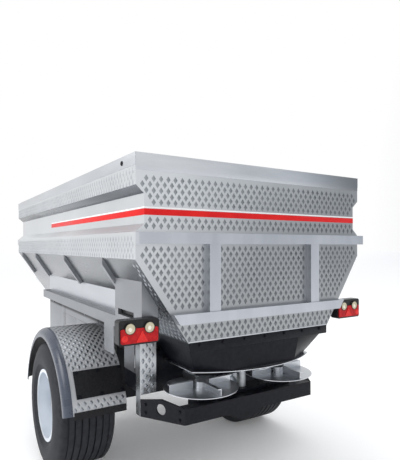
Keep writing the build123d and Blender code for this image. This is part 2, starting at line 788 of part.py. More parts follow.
def red_lenses():
    """Wide red lens of each lamp, cut round the two round lenses."""
    foot = LAMP_Z - LAMP_HEIGHT / 2 + RED_MARGIN
    lens = block((LAMP_IN + RED_MARGIN, LAMP_OUT - RED_MARGIN), (LAMP_FACE - LENS_DEPTH, LAMP_FACE),
                 (foot, LAMP_Z + LENS_RISE))
    lens = fillet(lens.edges().filter_by(Axis.Y), RED_ROUND)
    for hole in lamp_discs(LENS_RADIUS + LENS_GAP):
        lens -= hole
    return [lens, to_left(lens)]


def lamp_brackets():
    """Plates from the rear columns to the backs of the lamps."""
    half = LAMP_BRACKET_HEIGHT / 2
    bracket = block((LAMP_BRACKET_IN, LAMP_BRACKET_OUT), (LAMP_BACK, ahead(COLUMN_START)),
                    (LAMP_Z - half, LAMP_Z + half))
    return [bracket, to_left(bracket)]


# Feed and spreading

def screw_shaft():
    """Shaft of the screw, from the rear bearing into the front gearbox."""
    end = FRONT_Y + DRIVE_BORE - SHAFT_HOLE_GAP
    return rod((0, ahead(SHEET + SHAFT_HOLE_GAP), SCREW_Z), (0, end, SCREW_Z), SHAFT_RADIUS)


def screw_flight():
    """Helical flight welded round the shaft: a ruled sheet between two helices, thickened."""
    length = HOPPER_LENGTH - SHEET - FLIGHT_END_GAP - FLIGHT_START
    outer = Helix(FLIGHT_PITCH, length, SCREW_RADIUS)
    inner = Helix(FLIGHT_PITCH, length, SHAFT_RADIUS + SEAT)
    sheet = Face.make_surface_from_curves(outer.edge(), inner.edge())
    flight = Solid.thicken(sheet, FLIGHT_SHEET)
    place = Plane(origin=(0, ahead(FLIGHT_START), SCREW_Z), x_dir=(1, 0, 0), z_dir=(0, 1, 0))
    return place * Part(flight.wrapped)


def screw_bearing():
    """Rear bearing of the screw, on the metering box's rear plate."""
    low = (0, ahead(SHEET), SCREW_Z)
    high = (0, ahead(SHEET + BEARING_LENGTH), SCREW_Z)
    return rod(low, high, BEARING_RADIUS) - rod(low, high, SHAFT_RADIUS + RUN_GAP)


def screw_hood():
    """Arched hood over the screw, above the outlet."""
    low = (0, ahead(SHEET), SCREW_Z)
    high = (0, ahead(SHEET + HOOD_LENGTH), SCREW_Z)
    ring = rod(low, high, HOOD_RADIUS + SHEET) - rod(low, high, HOOD_RADIUS)
    reach = 2 * HOOD_RADIUS
    below = block((-reach, reach), (low[1] - SHEET, high[1] + SHEET),
                  (SCREW_Z - reach, floor_top(HOOD_RADIUS + SHEET) + SEAT))
    return ring - below


def side_rods():
    """Long rods beside the screw, with cross pins along them."""
    z = floor_top(ROD_X) + ROD_RISE
    bar = rod((ROD_X, ahead(SHEET), z), (ROD_X, FRONT_Y - SHEET, z), ROD_RADIUS)
    half = PIN_LENGTH / 2
    count = int(HOPPER_LENGTH // PIN_STEP)
    for number in range(count):
        y = ahead((number + 0.5) * HOPPER_LENGTH / count)
        bar += rod((ROD_X - half, y, z), (ROD_X + half, y, z), PIN_RADIUS)
    return [bar, to_left(bar)]


def drive_gearbox():
    """Front gearbox of the screw, with the drive stub."""
    half = DRIVE_HEIGHT / 2
    case = block((-DRIVE_HALF, DRIVE_HALF), (FRONT_Y, FRONT_Y + DRIVE_LENGTH), (SCREW_Z - half, SCREW_Z + half))
    front = FRONT_Y + DRIVE_LENGTH
    stub = rod((0, front, SCREW_Z), (0, front + DRIVE_STUB_LENGTH, SCREW_Z), DRIVE_STUB_RADIUS)
    bore = rod((0, FRONT_Y, SCREW_Z), (0, FRONT_Y + DRIVE_BORE, SCREW_Z), SHAFT_RADIUS + RUN_GAP)
    return case + stub - bore


def meter_outline(half, facet, cut, inset):
    """Outline of the metering box at some height, with the rear corners drawn forward."""
    right = [(half - inset, METER_Y - inset), (half - inset, ahead(cut + inset)), (facet, ahead(inset))]
    return right + [(-x, y) for x, y in reversed(right)]


def meter_body(inset):
    """Solid between the metering box's top and foot outlines, inside its faces by some inset."""
    top = make_face(Polyline(*meter_outline(FOOT_HALF, METER_TOP_FACET, 0, inset), close=True))
    foot = make_face(Polyline(*meter_outline(METER_FOOT_HALF, METER_FOOT_FACET, METER_CUT, inset), close=True))
    return loft([Plane.XY.offset(METER_FOOT) * foot, Plane.XY.offset(SLOPE_FOOT) * top], ruled=True)


def metering_box():
    """Tapered sheet box under the outlet, cut to the floor's underside and open at its foot."""
    return meter_body(0) - meter_body(SHEET) - hopper_body(ahead(SHEET), METER_Y + SHEET)


def metering_rim():
    """Bright rim plate round the metering box's foot, with a bowed rear edge."""
    half = METER_FOOT_HALF + RIM_REACH
    rear = ahead(RIM_START)
    outline = make_face([
        Polyline((-half, rear), (-half, METER_Y), (half, METER_Y), (half, rear)),
        ThreePointArc((half, rear), (0, rear - RIM_BOW), (-half, rear)),
    ])
    outer = extrude(Plane.XY.offset(METER_FOOT - RIM_PLATE) * outline, RIM_PLATE)
    opening = meter_outline(METER_FOOT_HALF, METER_FOOT_FACET, METER_CUT, RIM_REACH)
    outer -= prism_z(opening, METER_FOOT - 2 * RIM_PLATE, METER_FOOT + RIM_PLATE)
    return outer - hopper_body(ahead(SHEET), METER_Y + SHEET)


def disc():
    """Right spreading disc, with its hub, shaft and bent vanes."""
    plate = rod((DISC_X, DISC_Y, DISC_Z - DISC_SHEET), (DISC_X, DISC_Y, DISC_Z), DISC_RADIUS)
    hub = rod((DISC_X, DISC_Y, DISC_Z), (DISC_X, DISC_Y, DISC_Z + DISC_HUB_HEIGHT), DISC_HUB_RADIUS)
    shaft = rod((DISC_X, DISC_Y, GEARBOX_TOP - DISC_SHAFT_DEPTH), (DISC_X, DISC_Y, DISC_Z), DISC_SHAFT_RADIUS)
    half = VANE_SHEET / 2
    angle_section = [
        (-half, DISC_Z), (half, DISC_Z), (half, DISC_Z + VANE_HEIGHT - VANE_SHEET),
        (VANE_FLANGE, DISC_Z + VANE_HEIGHT - VANE_SHEET), (VANE_FLANGE, DISC_Z + VANE_HEIGHT),
        (-half, DISC_Z + VANE_HEIGHT),
    ]
    vane = prism_x(angle_section, VANE_IN, VANE_OUT)
    whole = plate + hub + shaft
    for number in range(VANES):
        whole += Pos(DISC_X, DISC_Y, 0) * Rot(0, 0, 360 / VANES * number) * vane
    return whole


def spinner_gearbox():
    """Gearbox under the discs, with its motor housing and the arms to the rear bar."""
    half = GEARBOX_LENGTH / 2
    case = block((-GEARBOX_HALF, GEARBOX_HALF), (DISC_Y - half, DISC_Y + half), (GEARBOX_FOOT, GEARBOX_TOP))
    foot = (0, GEARBOX_FOOT - MOTOR_DROP)
    bulge = make_face([
        ThreePointArc((-MOTOR_HALF, GEARBOX_FOOT), foot, (MOTOR_HALF, GEARBOX_FOOT)),
        Line((MOTOR_HALF, GEARBOX_FOOT), (-MOTOR_HALF, GEARBOX_FOOT)),
    ])
    case += extrude(Plane.XZ.offset(-DISC_Y - half) * bulge, GEARBOX_LENGTH)
    bar_front = ahead(COLUMN_START + REAR_BAR_DEPTH)
    for x in (-ARM_X, ARM_X):
        case += block((x - ARM_WIDTH / 2, x + ARM_WIDTH / 2), (bar_front, DISC_Y - half), (GEARBOX_FOOT, GEARBOX_TOP))
    for x in (-DISC_X, DISC_X):
        case -= rod((x, DISC_Y, GEARBOX_TOP - DISC_SHAFT_DEPTH - SHAFT_HOLE_GAP), (x, DISC_Y, GEARBOX_TOP),
                    DISC_SHAFT_RADIUS + RUN_GAP)
    return case


def centre_tube():
    """Upright tube between the discs."""
    return rod((0, DISC_Y, GEARBOX_TOP), (0, DISC_Y, TUBE_TOP), TUBE_RADIUS)


def rear_bar():
    """Bar across the rear, in front of the discs' gearbox as seen from behind."""
    return block((-REAR_BAR_HALF, REAR_BAR_HALF), (ahead(COLUMN_START), ahead(COLUMN_START + REAR_BAR_DEPTH)),
                 (REAR_BAR_FOOT, REAR_BAR_FOOT + REAR_BAR_HEIGHT))


def rear_arms():
    """Splayed plates from the bar's ends forward to the legs' outer flanges, with a round hole."""
    top = REAR_BAR_FOOT + REAR_BAR_HEIGHT
    near, far = REAR_BAR_HALF, LEG_OUT - LEG_SHEET
    plan = [(near, ahead(ARM_START)), (near, ahead(ARM_START + ARM_SLICE)),
            (far, ahead(ARM_END + ARM_SLICE)), (far, ahead(ARM_END))]
    middle = ((near + far) / 2, ahead((ARM_START + ARM_END + ARM_SLICE) / 2))
    side = [(ahead(ARM_START), REAR_BAR_FOOT), (ahead(ARM_END + ARM_SLICE), LEG_EDGE_FOOT),
            (ahead(ARM_END + ARM_SLICE), top), (middle[1], top + ARM_CREST), (ahead(ARM_START), top)]
    plate = prism_z(plan, LEG_EDGE_FOOT - ARM_CREST, top + 2 * ARM_CREST) & prism_x(side, near, far)
    hole_z = (REAR_BAR_FOOT + top + ARM_CREST) / 2
    run = (far - near, ARM_END - ARM_START)
    reach = ARM_SLICE / hypot(*run)
    plate -= rod((middle[0] + reach * run[1], middle[1] - reach * run[0], hole_z),
                 (middle[0] - reach * run[1], middle[1] + reach * run[0], hole_z), ARM_HOLE_RADIUS)
    return [plate, to_left(plate)]


# Towing

def drawbar():
    """Square drawbar under the cross members."""
    half = DRAWBAR_SIZE / 2
    end = ahead(EYE_AHEAD - EYE_REACH - EYE_FLANGE)
    return block((-half, half), (ahead(DRAWBAR_START), end), (DRAWBAR_Z - half, DRAWBAR_Z + half))


def tow_eye():
    """Tow eye with its shank and bolted flange."""
    half = EYE_HEIGHT / 2
    centre = ahead(EYE_AHEAD)
    face = ahead(EYE_AHEAD - EYE_REACH)
    ring = rod((0, centre, DRAWBAR_Z - half), (0, centre, DRAWBAR_Z + half), EYE_RADIUS)
    shank = block((-EYE_SHANK / 2, EYE_SHANK / 2), (face, centre), (DRAWBAR_Z - half, DRAWBAR_Z + half))
    size = DRAWBAR_SIZE / 2
    flange = block((-size, size), (face - EYE_FLANGE, face), (DRAWBAR_Z - size, DRAWBAR_Z + size))
    bore = rod((0, centre, DRAWBAR_Z - EYE_HEIGHT), (0, centre, DRAWBAR_Z + EYE_HEIGHT), EYE_BORE)
    return ring + shank + flange - bore


JACK_X = DRAWBAR_SIZE / 2 + JACK_PLATE + JACK_SLEEVE / 2
JACK_Y = ahead(JACK_AHEAD)
LEG_SIZE = JACK_SLEEVE - 2 * (JACK_WALL + SLIDE_GAP)


def square_bar(size, low, high):
    """Square upright bar on the jack's centre line."""
    half = size / 2
    return block((JACK_X - half, JACK_X + half), (JACK_Y - half, JACK_Y + half), (low, high))


def jack_sleeve():
    """Jack's outer tube, with its plate to the drawbar, its cap and its crank."""
    tube = square_bar(JACK_SLEEVE, SLEEVE_FOOT, SLEEVE_TOP)
    tube -= square_bar(JACK_SLEEVE - 2 * JACK_WALL, SLEEVE_FOOT, SLEEVE_TOP - JACK_WALL)
    half = DRAWBAR_SIZE / 2
    length = JACK_PLATE_LENGTH / 2
    tube += block((half, half + JACK_PLATE), (JACK_Y - length, JACK_Y + length), (DRAWBAR_Z - half, DRAWBAR_Z + half))
    pivot = SLEEVE_TOP - JACK_SLEEVE / 2
    face = JACK_X + JACK_SLEEVE / 2
    tube += rod((face, JACK_Y, pivot), (face + JACK_PLATE_LENGTH / 2, JACK_Y, pivot), CRANK_RADIUS)
    arm_x = face + JACK_PLATE_LENGTH / 2
    tube += block((arm_x - CRANK_RADIUS, arm_x), (JACK_Y - CRANK_RADIUS, JACK_Y + CRANK_RADIUS),
                  (pivot - CRANK_RADIUS, pivot + CRANK_ARM))
    grip = pivot + CRANK_ARM - CRANK_RADIUS
    return tube + rod((arm_x, JACK_Y, grip), (arm_x + CRANK_GRIP, JACK_Y, grip), CRANK_RADIUS)


def jack_leg():
    """Jack's sliding leg with its foot plate on the ground."""
    return square_bar(LEG_SIZE, 0, LEG_TOP) + square_bar(FOOT_SIZE, 0, FOOT_SHEET)


def write(name, shape):
    """Write one node's solids to its file."""
    solids = shape if isinstance(shape, list) else [shape]
    export_step(Compound(children=[Compound(s.wrapped) for s in solids]), f"parts/{name}.step")


def write_pair(name, solid):
    """Write a right-hand piece and its mirror image as two nodes."""
    write(f"{name}_right", solid)
    write(f"{name}_left", to_left(solid))


os.makedirs("parts", exist_ok=True)

write_pair("side_wall", hopper_panel(WALL_CORNERS))
write_pair("slope", hopper_panel(SLOPE_CORNERS))
floor_panel = hopper_panel(FLOOR_CORNERS)
write("floor_panels", [floor_panel, to_left(floor_panel)])
write("trough", trough())
write("rear_wall", rear_wall())
write("front_wall", front_wall())
write("rear_cross_bars", cross_bars(REAR_Y - BAR_DEPTH, REAR_Y))
write("rear_uprights", rear_uprights())
write("front_cross_bars", cross_bars(FRONT_Y, FRONT_Y + BAR_DEPTH))
write("side_ribs", side_ribs())

write_pair("beam", beam())
write("cross_members", cross_members())
write("outriggers", outriggers())
write("side_rails", side_rails())
write("skirt_panels", skirt_panels())
write("lower_panels", lower_panels())
write_pair("rear_column", rear_column())
write("rear_legs", rear_legs())
write("side_blocks", side_blocks())
write("axle_beam", axle_beam())
write("axle_hangers", axle_hangers())

write_pair("tyre", tyre())
write_pair("rim", rim())
write_pair("mudguard", mudguard())
write("guard_brackets", guard_brackets())
write("flap_panels", flap_panels())
write("flap_strips", flap_strips())

write_pair("lamp_housing", lamp_housing())
write("lamp_round_lenses", round_lenses())
write("lamp_red_lenses", red_lenses())
write("lamp_brackets", lamp_brackets())

write("screw_shaft", screw_shaft())
write("screw_flight", screw_flight())
write("screw_bearing", screw_bearing())
write("screw_hood", screw_hood())
write("side_rods", side_rods())
write("drive_gearbox", drive_gearbox())

write("metering_box", metering_box())
write("metering_rim", metering_rim())
write_pair("disc", disc())
write("spinner_gearbox", spinner_gearbox())
write("centre_tube", centre_tube())
write("rear_bar", rear_bar())
write("rear_arms", rear_arms())

write("drawbar", drawbar())
write("tow_eye", tow_eye())
write("jack_sleeve", jack_sleeve())
write("jack_leg", jack_leg())
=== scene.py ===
# %% [markdown]
# # Dressing a towed salt spreader
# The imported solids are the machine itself: hopper, chassis, wheels, screw and discs, each already on the
# body that carries it. This lesson gives every solid its finish and models what the solids leave out,
# such as the bosses pressed into the sheet, the tyre's tread, the details of the lamps and the bolts. All
# lengths are in metres.

# %% Load the frame
import json
from math import cos, pi, radians, sin

import bpy
from mathutils import Matrix, Vector


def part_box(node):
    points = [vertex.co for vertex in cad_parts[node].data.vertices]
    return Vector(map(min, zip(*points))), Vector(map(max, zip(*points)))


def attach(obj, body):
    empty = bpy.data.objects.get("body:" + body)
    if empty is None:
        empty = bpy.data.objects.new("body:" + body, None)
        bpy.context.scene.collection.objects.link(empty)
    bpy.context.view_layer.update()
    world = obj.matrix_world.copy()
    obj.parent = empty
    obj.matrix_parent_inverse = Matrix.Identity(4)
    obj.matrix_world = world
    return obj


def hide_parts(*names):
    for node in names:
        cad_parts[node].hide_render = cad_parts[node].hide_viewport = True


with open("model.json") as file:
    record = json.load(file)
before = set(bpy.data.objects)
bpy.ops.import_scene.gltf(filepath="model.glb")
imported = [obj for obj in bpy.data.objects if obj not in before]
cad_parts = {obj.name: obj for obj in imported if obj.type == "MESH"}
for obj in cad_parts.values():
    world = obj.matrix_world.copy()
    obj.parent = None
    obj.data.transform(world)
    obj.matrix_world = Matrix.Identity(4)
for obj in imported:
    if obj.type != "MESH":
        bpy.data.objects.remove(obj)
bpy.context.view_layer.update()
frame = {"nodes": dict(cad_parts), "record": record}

# %% [markdown]
# ## Where things are
# On the real machine a tape would be hooked over the hopper's rear face, and most places here are
# measured from it too. They could be written as plain coordinates, but then every number would hide the
# same offset. The hopper's outline is a short list, because the walls, slopes, bands and stripes all
# follow it.

# %% Rear face and outline
rear_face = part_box("rear_wall")[0][1]
# (height, half width) of the hopper, from the foot of the slope to the rim
WALL_OUTLINE = ((1.126, 0.555), (1.602, 0.875), (1.748, 0.875), (1.793, 0.825), (1.951, 0.825),
                (1.996, 0.875), (2.166, 0.875))
FOOT_Z, FOOT_HALF = WALL_OUTLINE[0]
WALL_FOOT_Z = WALL_OUTLINE[1][0]
CHANNEL_HALF = WALL_OUTLINE[4][1]
HOPPER_TOP, HOPPER_HALF = WALL_OUTLINE[-1]
HOPPER_LENGTH = 3.370
AXLE_AHEAD = 1.347
slope_run = Vector((HOPPER_HALF - FOOT_HALF, 0, WALL_FOOT_Z - FOOT_Z)).normalized()


def ahead(distance):
    """Return the Y of a place that far ahead of the hopper's rear face."""
    return rear_face + distance


guard_centre = Vector((0, ahead(AXLE_AHEAD), 0.390))
print("the rear face is at y", round(rear_face, 3))

# %% [markdown]
# ## The camera
# The picture was taken from behind the machine's left rear corner, at about eye height. A camera could be
# tilted down at the machine, but then upright edges would lean. A level camera keeps them upright, so the
# frame is slid with a little shift instead.

# %% Camera
EYE = (-1.803, -4.433, 1.673)
VIEW_TURN = radians(32)
SENSOR_WIDTH = 36
# In the picture's pixels
LONG_SIDE = 460
FOCAL_LENGTH = 440
FRAME_SHIFT = 16
camera_data = bpy.data.cameras.new("camera")
camera = bpy.data.objects.new("camera", camera_data)
bpy.context.scene.collection.objects.link(camera)
camera.location = EYE
camera.rotation_euler = (radians(90), 0, -VIEW_TURN)
camera_data.sensor_width = SENSOR_WIDTH
camera_data.lens = FOCAL_LENGTH / LONG_SIDE * SENSOR_WIDTH
camera_data.shift_y = FRAME_SHIFT / LONG_SIDE
bpy.context.scene.camera = camera
print("camera lens", round(camera_data.lens, 2), "mm")

# %% [markdown]
# ## Floor and light
# A bright sheet shows whatever stands round it, so the studio matters as much as the finish. The backdrop
# is white ahead and to the left, and shades to a pale cool grey behind the viewer's right shoulder.
# Stronger lamps could part the rear wall from the bright side wall too, but they would burn the pale
# sheet out. The floor is a wide pale sheet that keeps the shadow. Far off it takes the backdrop's tone,
# and camera, glossy and transmission rays see it a little brighter, so that the two meet almost without a
# line.

# %% Node helpers


def add_node(tree, kind, operation=None):
    """Add a shader node of a kind and set what it works out."""
    node = tree.nodes.new("ShaderNode" + kind)
    if operation:
        node.operation = operation
    return node


def link_nodes(tree, pairs):
    """Join sockets given as (from, to) pairs."""
    for source, target in pairs:
        tree.links.new(source, target)


def add_ramp(tree, places, colours):
    """Add a ramp between two colours at two places."""
    ramp = add_node(tree, "ValToRGB")
    for element, place, colour in zip(ramp.color_ramp.elements, places, colours):
        element.position = place
        element.color = (*colour, 1)
    return ramp


def add_range(tree, start, end, low, high, kind="LINEAR"):
    """Add a node that runs from low to high while its value goes from start to end."""
    run = add_node(tree, "MapRange")
    run.interpolation_type = kind
    for socket, value in (("From Min", start), ("From Max", end), ("To Min", low), ("To Max", high)):
        run.inputs[socket].default_value = value
    return run


print("node helpers ready")

# %% Backdrop
SHADED_SIDE = (0.94, -0.34, 0.0)
SHADE_START = 0.55
WHITE = (1, 1, 1)
SHADE_TONE = (0.56, 0.60, 0.65)
ROOM_TONE = (0.97, 0.98, 1, 1)
ROOM_STRENGTH = 0.94
bpy.context.scene.view_settings.view_transform = "Standard"


def seen_rays(tree):
    """Return a socket that is 1 for camera, glossy and transmission rays."""
    path = add_node(tree, "LightPath")
    seen = path.outputs["Is Camera Ray"]
    for kind in ("Is Glossy Ray", "Is Transmission Ray"):
        either = add_node(tree, "Math", "MAXIMUM")
        link_nodes(tree, [(seen, either.inputs[0]), (path.outputs[kind], either.inputs[1])])
        seen = either.outputs[0]
    return seen


def shaded(tree, direction):
    """Return the backdrop's colour in a direction."""
    towards_shade = add_node(tree, "VectorMath", "DOT_PRODUCT")
    towards_shade.inputs[1].default_value = SHADED_SIDE
    shade = add_ramp(tree, (SHADE_START, 1.0), (WHITE, SHADE_TONE))
    link_nodes(tree, [
        (direction, towards_shade.inputs[0]),
        (towards_shade.outputs["Value"], shade.inputs["Fac"]),
    ])
    return shade.outputs["Color"]


world = bpy.data.worlds.new("studio")
bpy.context.scene.world = world
world.use_nodes = True
world_tree = world.node_tree
world_tree.nodes.clear()
output = add_node(world_tree, "OutputWorld")
direction = add_node(world_tree, "TexCoord")
backdrop = add_node(world_tree, "Background")
room = add_node(world_tree, "Background")
room.inputs["Color"].default_value = ROOM_TONE
room.inputs["Strength"].default_value = ROOM_STRENGTH
mix = add_node(world_tree, "MixShader")
link_nodes(world_tree, [
    (shaded(world_tree, direction.outputs["Generated"]), backdrop.inputs["Color"]),
    (seen_rays(world_tree), mix.inputs["Fac"]),
    (room.outputs[0], mix.inputs[1]),
    (backdrop.outputs[0], mix.inputs[2]),
    (mix.outputs[0], output.inputs["Surface"]),
])
print("backdrop shades towards", SHADED_SIDE)

# %% Lamps


def add_lamp(name, place, aim, size, power):
    """Add a square area lamp that points at a place."""
    data = bpy.data.lights.new(name, "AREA")
    data.size = size
    data.energy = power
    lamp = bpy.data.objects.new(name, data)
    bpy.context.scene.collection.objects.link(lamp)
    lamp.location = place
    lamp.rotation_euler = (Vector(aim) - Vector(place)).to_track_quat("-Z", "Y").to_euler()


add_lamp("lamp_left", (-6.5, -1.0, 6.0), (0, -0.8, 0.8), 4.0, 270)
add_lamp("lamp_above", (0.5, 0.5, 8.0), (0, 0, 0), 5.0, 200)

# %% Floor
FLOOR_SIZE = 240
FLOOR_TONE = (0.985, 0.985, 0.985, 1)
FLOOR_LIFT = 0.08
FADE_START, FADE_END = 12, 60


def deselect():
    """Leave nothing selected."""
    bpy.ops.object.select_all(action="DESELECT")


deselect()
bpy.ops.mesh.primitive_plane_add(size=FLOOR_SIZE, location=(0, 0, 0))
floor = bpy.context.active_object
floor.name = "floor"
floor_material = bpy.data.materials.new("pale_floor")
floor_material.use_nodes = True
floor_tree = floor_material.node_tree
floor_shader = floor_tree.nodes["Principled BSDF"]
floor_shader.inputs["Roughness"].default_value = 0.9
floor_shader.inputs["Specular IOR Level"].default_value = 0.1
floor_shader.inputs["Emission Color"].default_value = (*WHITE, 1)
floor_place = add_node(floor_tree, "TexCoord")
way_out = add_node(floor_tree, "VectorMath", "NORMALIZE")
distance = add_node(floor_tree, "VectorMath", "LENGTH")
farness = add_range(floor_tree, FADE_START, FADE_END, 0, 1, "SMOOTHSTEP")
floor_colour = add_node(floor_tree, "MixRGB")
floor_colour.inputs["Color1"].default_value = FLOOR_TONE
lift = add_node(floor_tree, "Math", "MULTIPLY")
lift.inputs[1].default_value = FLOOR_LIFT
link_nodes(floor_tree, [
    (floor_place.outputs["Object"], way_out.inputs[0]),
    (floor_place.outputs["Object"], distance.inputs[0]),
    (distance.outputs["Value"], farness.inputs["Value"]),
    (farness.outputs["Result"], floor_colour.inputs["Fac"]),
    (shaded(floor_tree, way_out.outputs["Vector"]), floor_colour.inputs["Color2"]),
    (floor_colour.outputs["Color"], floor_shader.inputs["Base Color"]),
    (seen_rays(floor_tree), lift.inputs[0]),
    (lift.outputs[0], floor_shader.inputs["Emission Strength"]),
])
floor.data.materials.append(floor_material)
print("floor", FLOOR_SIZE, "m across")

# %% [markdown]
# ## Finishes
# The machine is mostly bright sheet, with black paint, rubber and plastic round it. A flat colour would
# look like a toy, and a picture of metal would show seams. So each finish starts from the principled
# shader, and noise on Object coordinates breaks up its colour and roughness. Stretching the noise along
# the machine gives the fine lines of brushed sheet.

# %% Fades
INSIDE_BLEND = 0.05


def dim_colour(material, amount):
    """Scale a finish's colour by a socket."""
    tree = material.node_tree
    base_colour = tree.nodes["Principled BSDF"].inputs["Base Color"]
    dimmed = add_node(tree, "VectorMath", "SCALE")
    link_nodes(tree, [
        (base_colour.links[0].from_socket, dimmed.inputs[0]),
        (amount, dimmed.inputs["Scale"]),
        (dimmed.outputs["Vector"], base_colour),
    ])


def fade_along(material, along, start, end, least):
    """Dim a finish down to its least where a place lies less far along a direction."""
    tree = material.node_tree
    place = add_node(tree, "TexCoord")
    reach = add_node(tree, "VectorMath", "DOT_PRODUCT")
    reach.inputs[1].default_value = along
    dim = add_range(tree, start, end, least, 1, "SMOOTHSTEP")
    link_nodes(tree, [
        (place.outputs["Object"], reach.inputs[0]),
        (reach.outputs["Value"], dim.inputs["Value"]),
    ])
    dim_colour(material, dim.outputs["Result"])


def shade_inside(material, centre, least):
    """Dim a finish wherever a face looks towards a centre, as painted shade on the inner faces."""
    tree = material.node_tree
    place = add_node(tree, "TexCoord")
    away = add_node(tree, "VectorMath", "SUBTRACT")
    away.inputs[1].default_value = centre
    looks_out = add_node(tree, "VectorMath", "DOT_PRODUCT")
    dim = add_range(tree, -INSIDE_BLEND, INSIDE_BLEND, least, 1)
    link_nodes(tree, [
        (place.outputs["Object"], away.inputs[0]),
        (away.outputs["Vector"], looks_out.inputs[0]),
        (place.outputs["Normal"], looks_out.inputs[1]),
        (looks_out.outputs["Value"], dim.inputs["Value"]),
    ])
    dim_colour(material, dim.outputs["Result"])


print("fades ready")

# %% Finish helper
TONE_ENDS = (0.3, 0.7)
ROUGHNESS_SPREAD = 0.12
BUMP_DEPTH = 0.001


def finish_of(name, dark, light, roughness, metallic, grain, bump=0, specular=0.5, fade=None):
    """Make a finish whose colour runs between two tones and whose roughness wavers with the same noise.

    The grain says how fine the noise is, as one number or along each axis. A fade is what fade_along takes.
    """
    material = bpy.data.materials.new(name)
    material.use_nodes = True
    tree = material.node_tree
    shader = tree.nodes["Principled BSDF"]
    shader.inputs["Metallic"].default_value = metallic
    shader.inputs["Specular IOR Level"].default_value = specular
    place = add_node(tree, "TexCoord")
    mapping = add_node(tree, "Mapping")
    mapping.inputs["Scale"].default_value = grain if isinstance(grain, tuple) else (grain, grain, grain)
    noise = add_node(tree, "TexNoise")
    noise.inputs["Scale"].default_value = 1.0
    noise.inputs["Detail"].default_value = 6.0
    tones = add_ramp(tree, TONE_ENDS, (dark, light))
    rough = add_range(tree, *TONE_ENDS, roughness - ROUGHNESS_SPREAD / 2, roughness + ROUGHNESS_SPREAD / 2)
    link_nodes(tree, [
        (place.outputs["Object"], mapping.inputs["Vector"]),
        (mapping.outputs["Vector"], noise.inputs["Vector"]),
        (noise.outputs["Fac"], tones.inputs["Fac"]),
        (tones.outputs["Color"], shader.inputs["Base Color"]),
        (noise.outputs["Fac"], rough.inputs["Value"]),
        (rough.outputs["Result"], shader.inputs["Roughness"]),
    ])
    if fade:
        fade_along(material, *fade)
    if bump:
        relief = add_node(tree, "Bump")
        relief.inputs["Strength"].default_value = bump
        relief.inputs["Distance"].default_value = BUMP_DEPTH
        link_nodes(tree, [
            (noise.outputs["Fac"], relief.inputs["Height"]),
            (relief.outputs["Normal"], shader.inputs["Normal"]),
        ])
    return material


print("finish helper ready")

# %% Finishes for the record's slots
# slot: (finish, dark tone, light tone, roughness, metallic, grain, bump, specular level)
SLOT_FINISHES = {
    "embossed_steel": ("pressed_sheet", (0.47, 0.49, 0.51), (0.56, 0.58, 0.60), 0.30, 1, 3),
    "plain_steel": ("brushed_sheet", (0.54, 0.56, 0.59), (0.60, 0.62, 0.65), 0.34, 1, (14, 2, 14)),
    "dark_steel": ("black_paint", (0.004, 0.0045, 0.007), (0.009, 0.010, 0.014), 0.34, 0, 40, 0.15, 0.14),
    "grey_steel": ("zinc_coat", (0.34, 0.36, 0.38), (0.50, 0.52, 0.54), 0.48, 1, 70),
    "rim_paint": ("silver_paint", (0.70, 0.74, 0.79), (0.76, 0.80, 0.85), 0.34, 0.6, 5),
    "tyre_rubber": ("tyre_black", (0.014, 0.015, 0.019), (0.032, 0.034, 0.040), 0.62, 0, 30, 0.3, 0.2),
    "rubber": ("flap_black", (0.010, 0.010, 0.011), (0.022, 0.022, 0.024), 0.65, 0, 60, 0.3, 0.2),
    "black_plastic": ("black_moulding", (0.008, 0.008, 0.009), (0.018, 0.018, 0.020), 0.35, 0, 90, 0.1, 0.25),
    "clear_lens": ("pale_lens", (0.50, 0.45, 0.32), (0.66, 0.60, 0.44), 0.22, 0, 40, 0, 0.3),
    "red_lens": ("red_lens", (0.36, 0.004, 0.008), (0.52, 0.010, 0.012), 0.26, 0, 40, 0, 0.2),
    "screw_steel": ("worn_screw", (0.48, 0.46, 0.44), (0.66, 0.64, 0.62), 0.26, 1, 30),
}
finishes = {slot: finish_of(*values) for slot, values in SLOT_FINISHES.items()}
print(len(finishes), "finishes for the slots")

# %% [markdown]
# ## Sheets with a tone of their own
# The same steel looks different from panel to panel, and most of the difference is painted shade: the rear
# wall darkens towards one corner and the rear rim band towards its right end, the mudguards are painted
# darker inside, the lower panels carry a painted shadow of the rail, and the slopes are bright inside the
# hopper with painted shade outside. The rails and columns are matt. Each could be a second piece laid over
# the solid, but a finish that fades along a direction does it with no new shape. On the slopes the change
# lies within the sheet.

# %% Finishes for single solids
# (direction, start, end, least), as fade_along takes them
# The rear wall's fade is painted shade: the wall darkens towards its lower right corner.
REAR_PAINTED_SHADE = ((-0.55, 0, 0.835), 1.15, 2.25, 0.50)
# The rear rim band's fade is painted shade: the band darkens towards its right end.
BAND_PAINTED_SHADE = ((-1, 0, 0), -0.95, -0.20, 0.42)
# The lower panels' fade is a painted shadow of the rail: the panels darken along their top.
PANEL_PAINTED_SHADOW = ((0, 0, -1), -1.066, -1.040, 0.14)
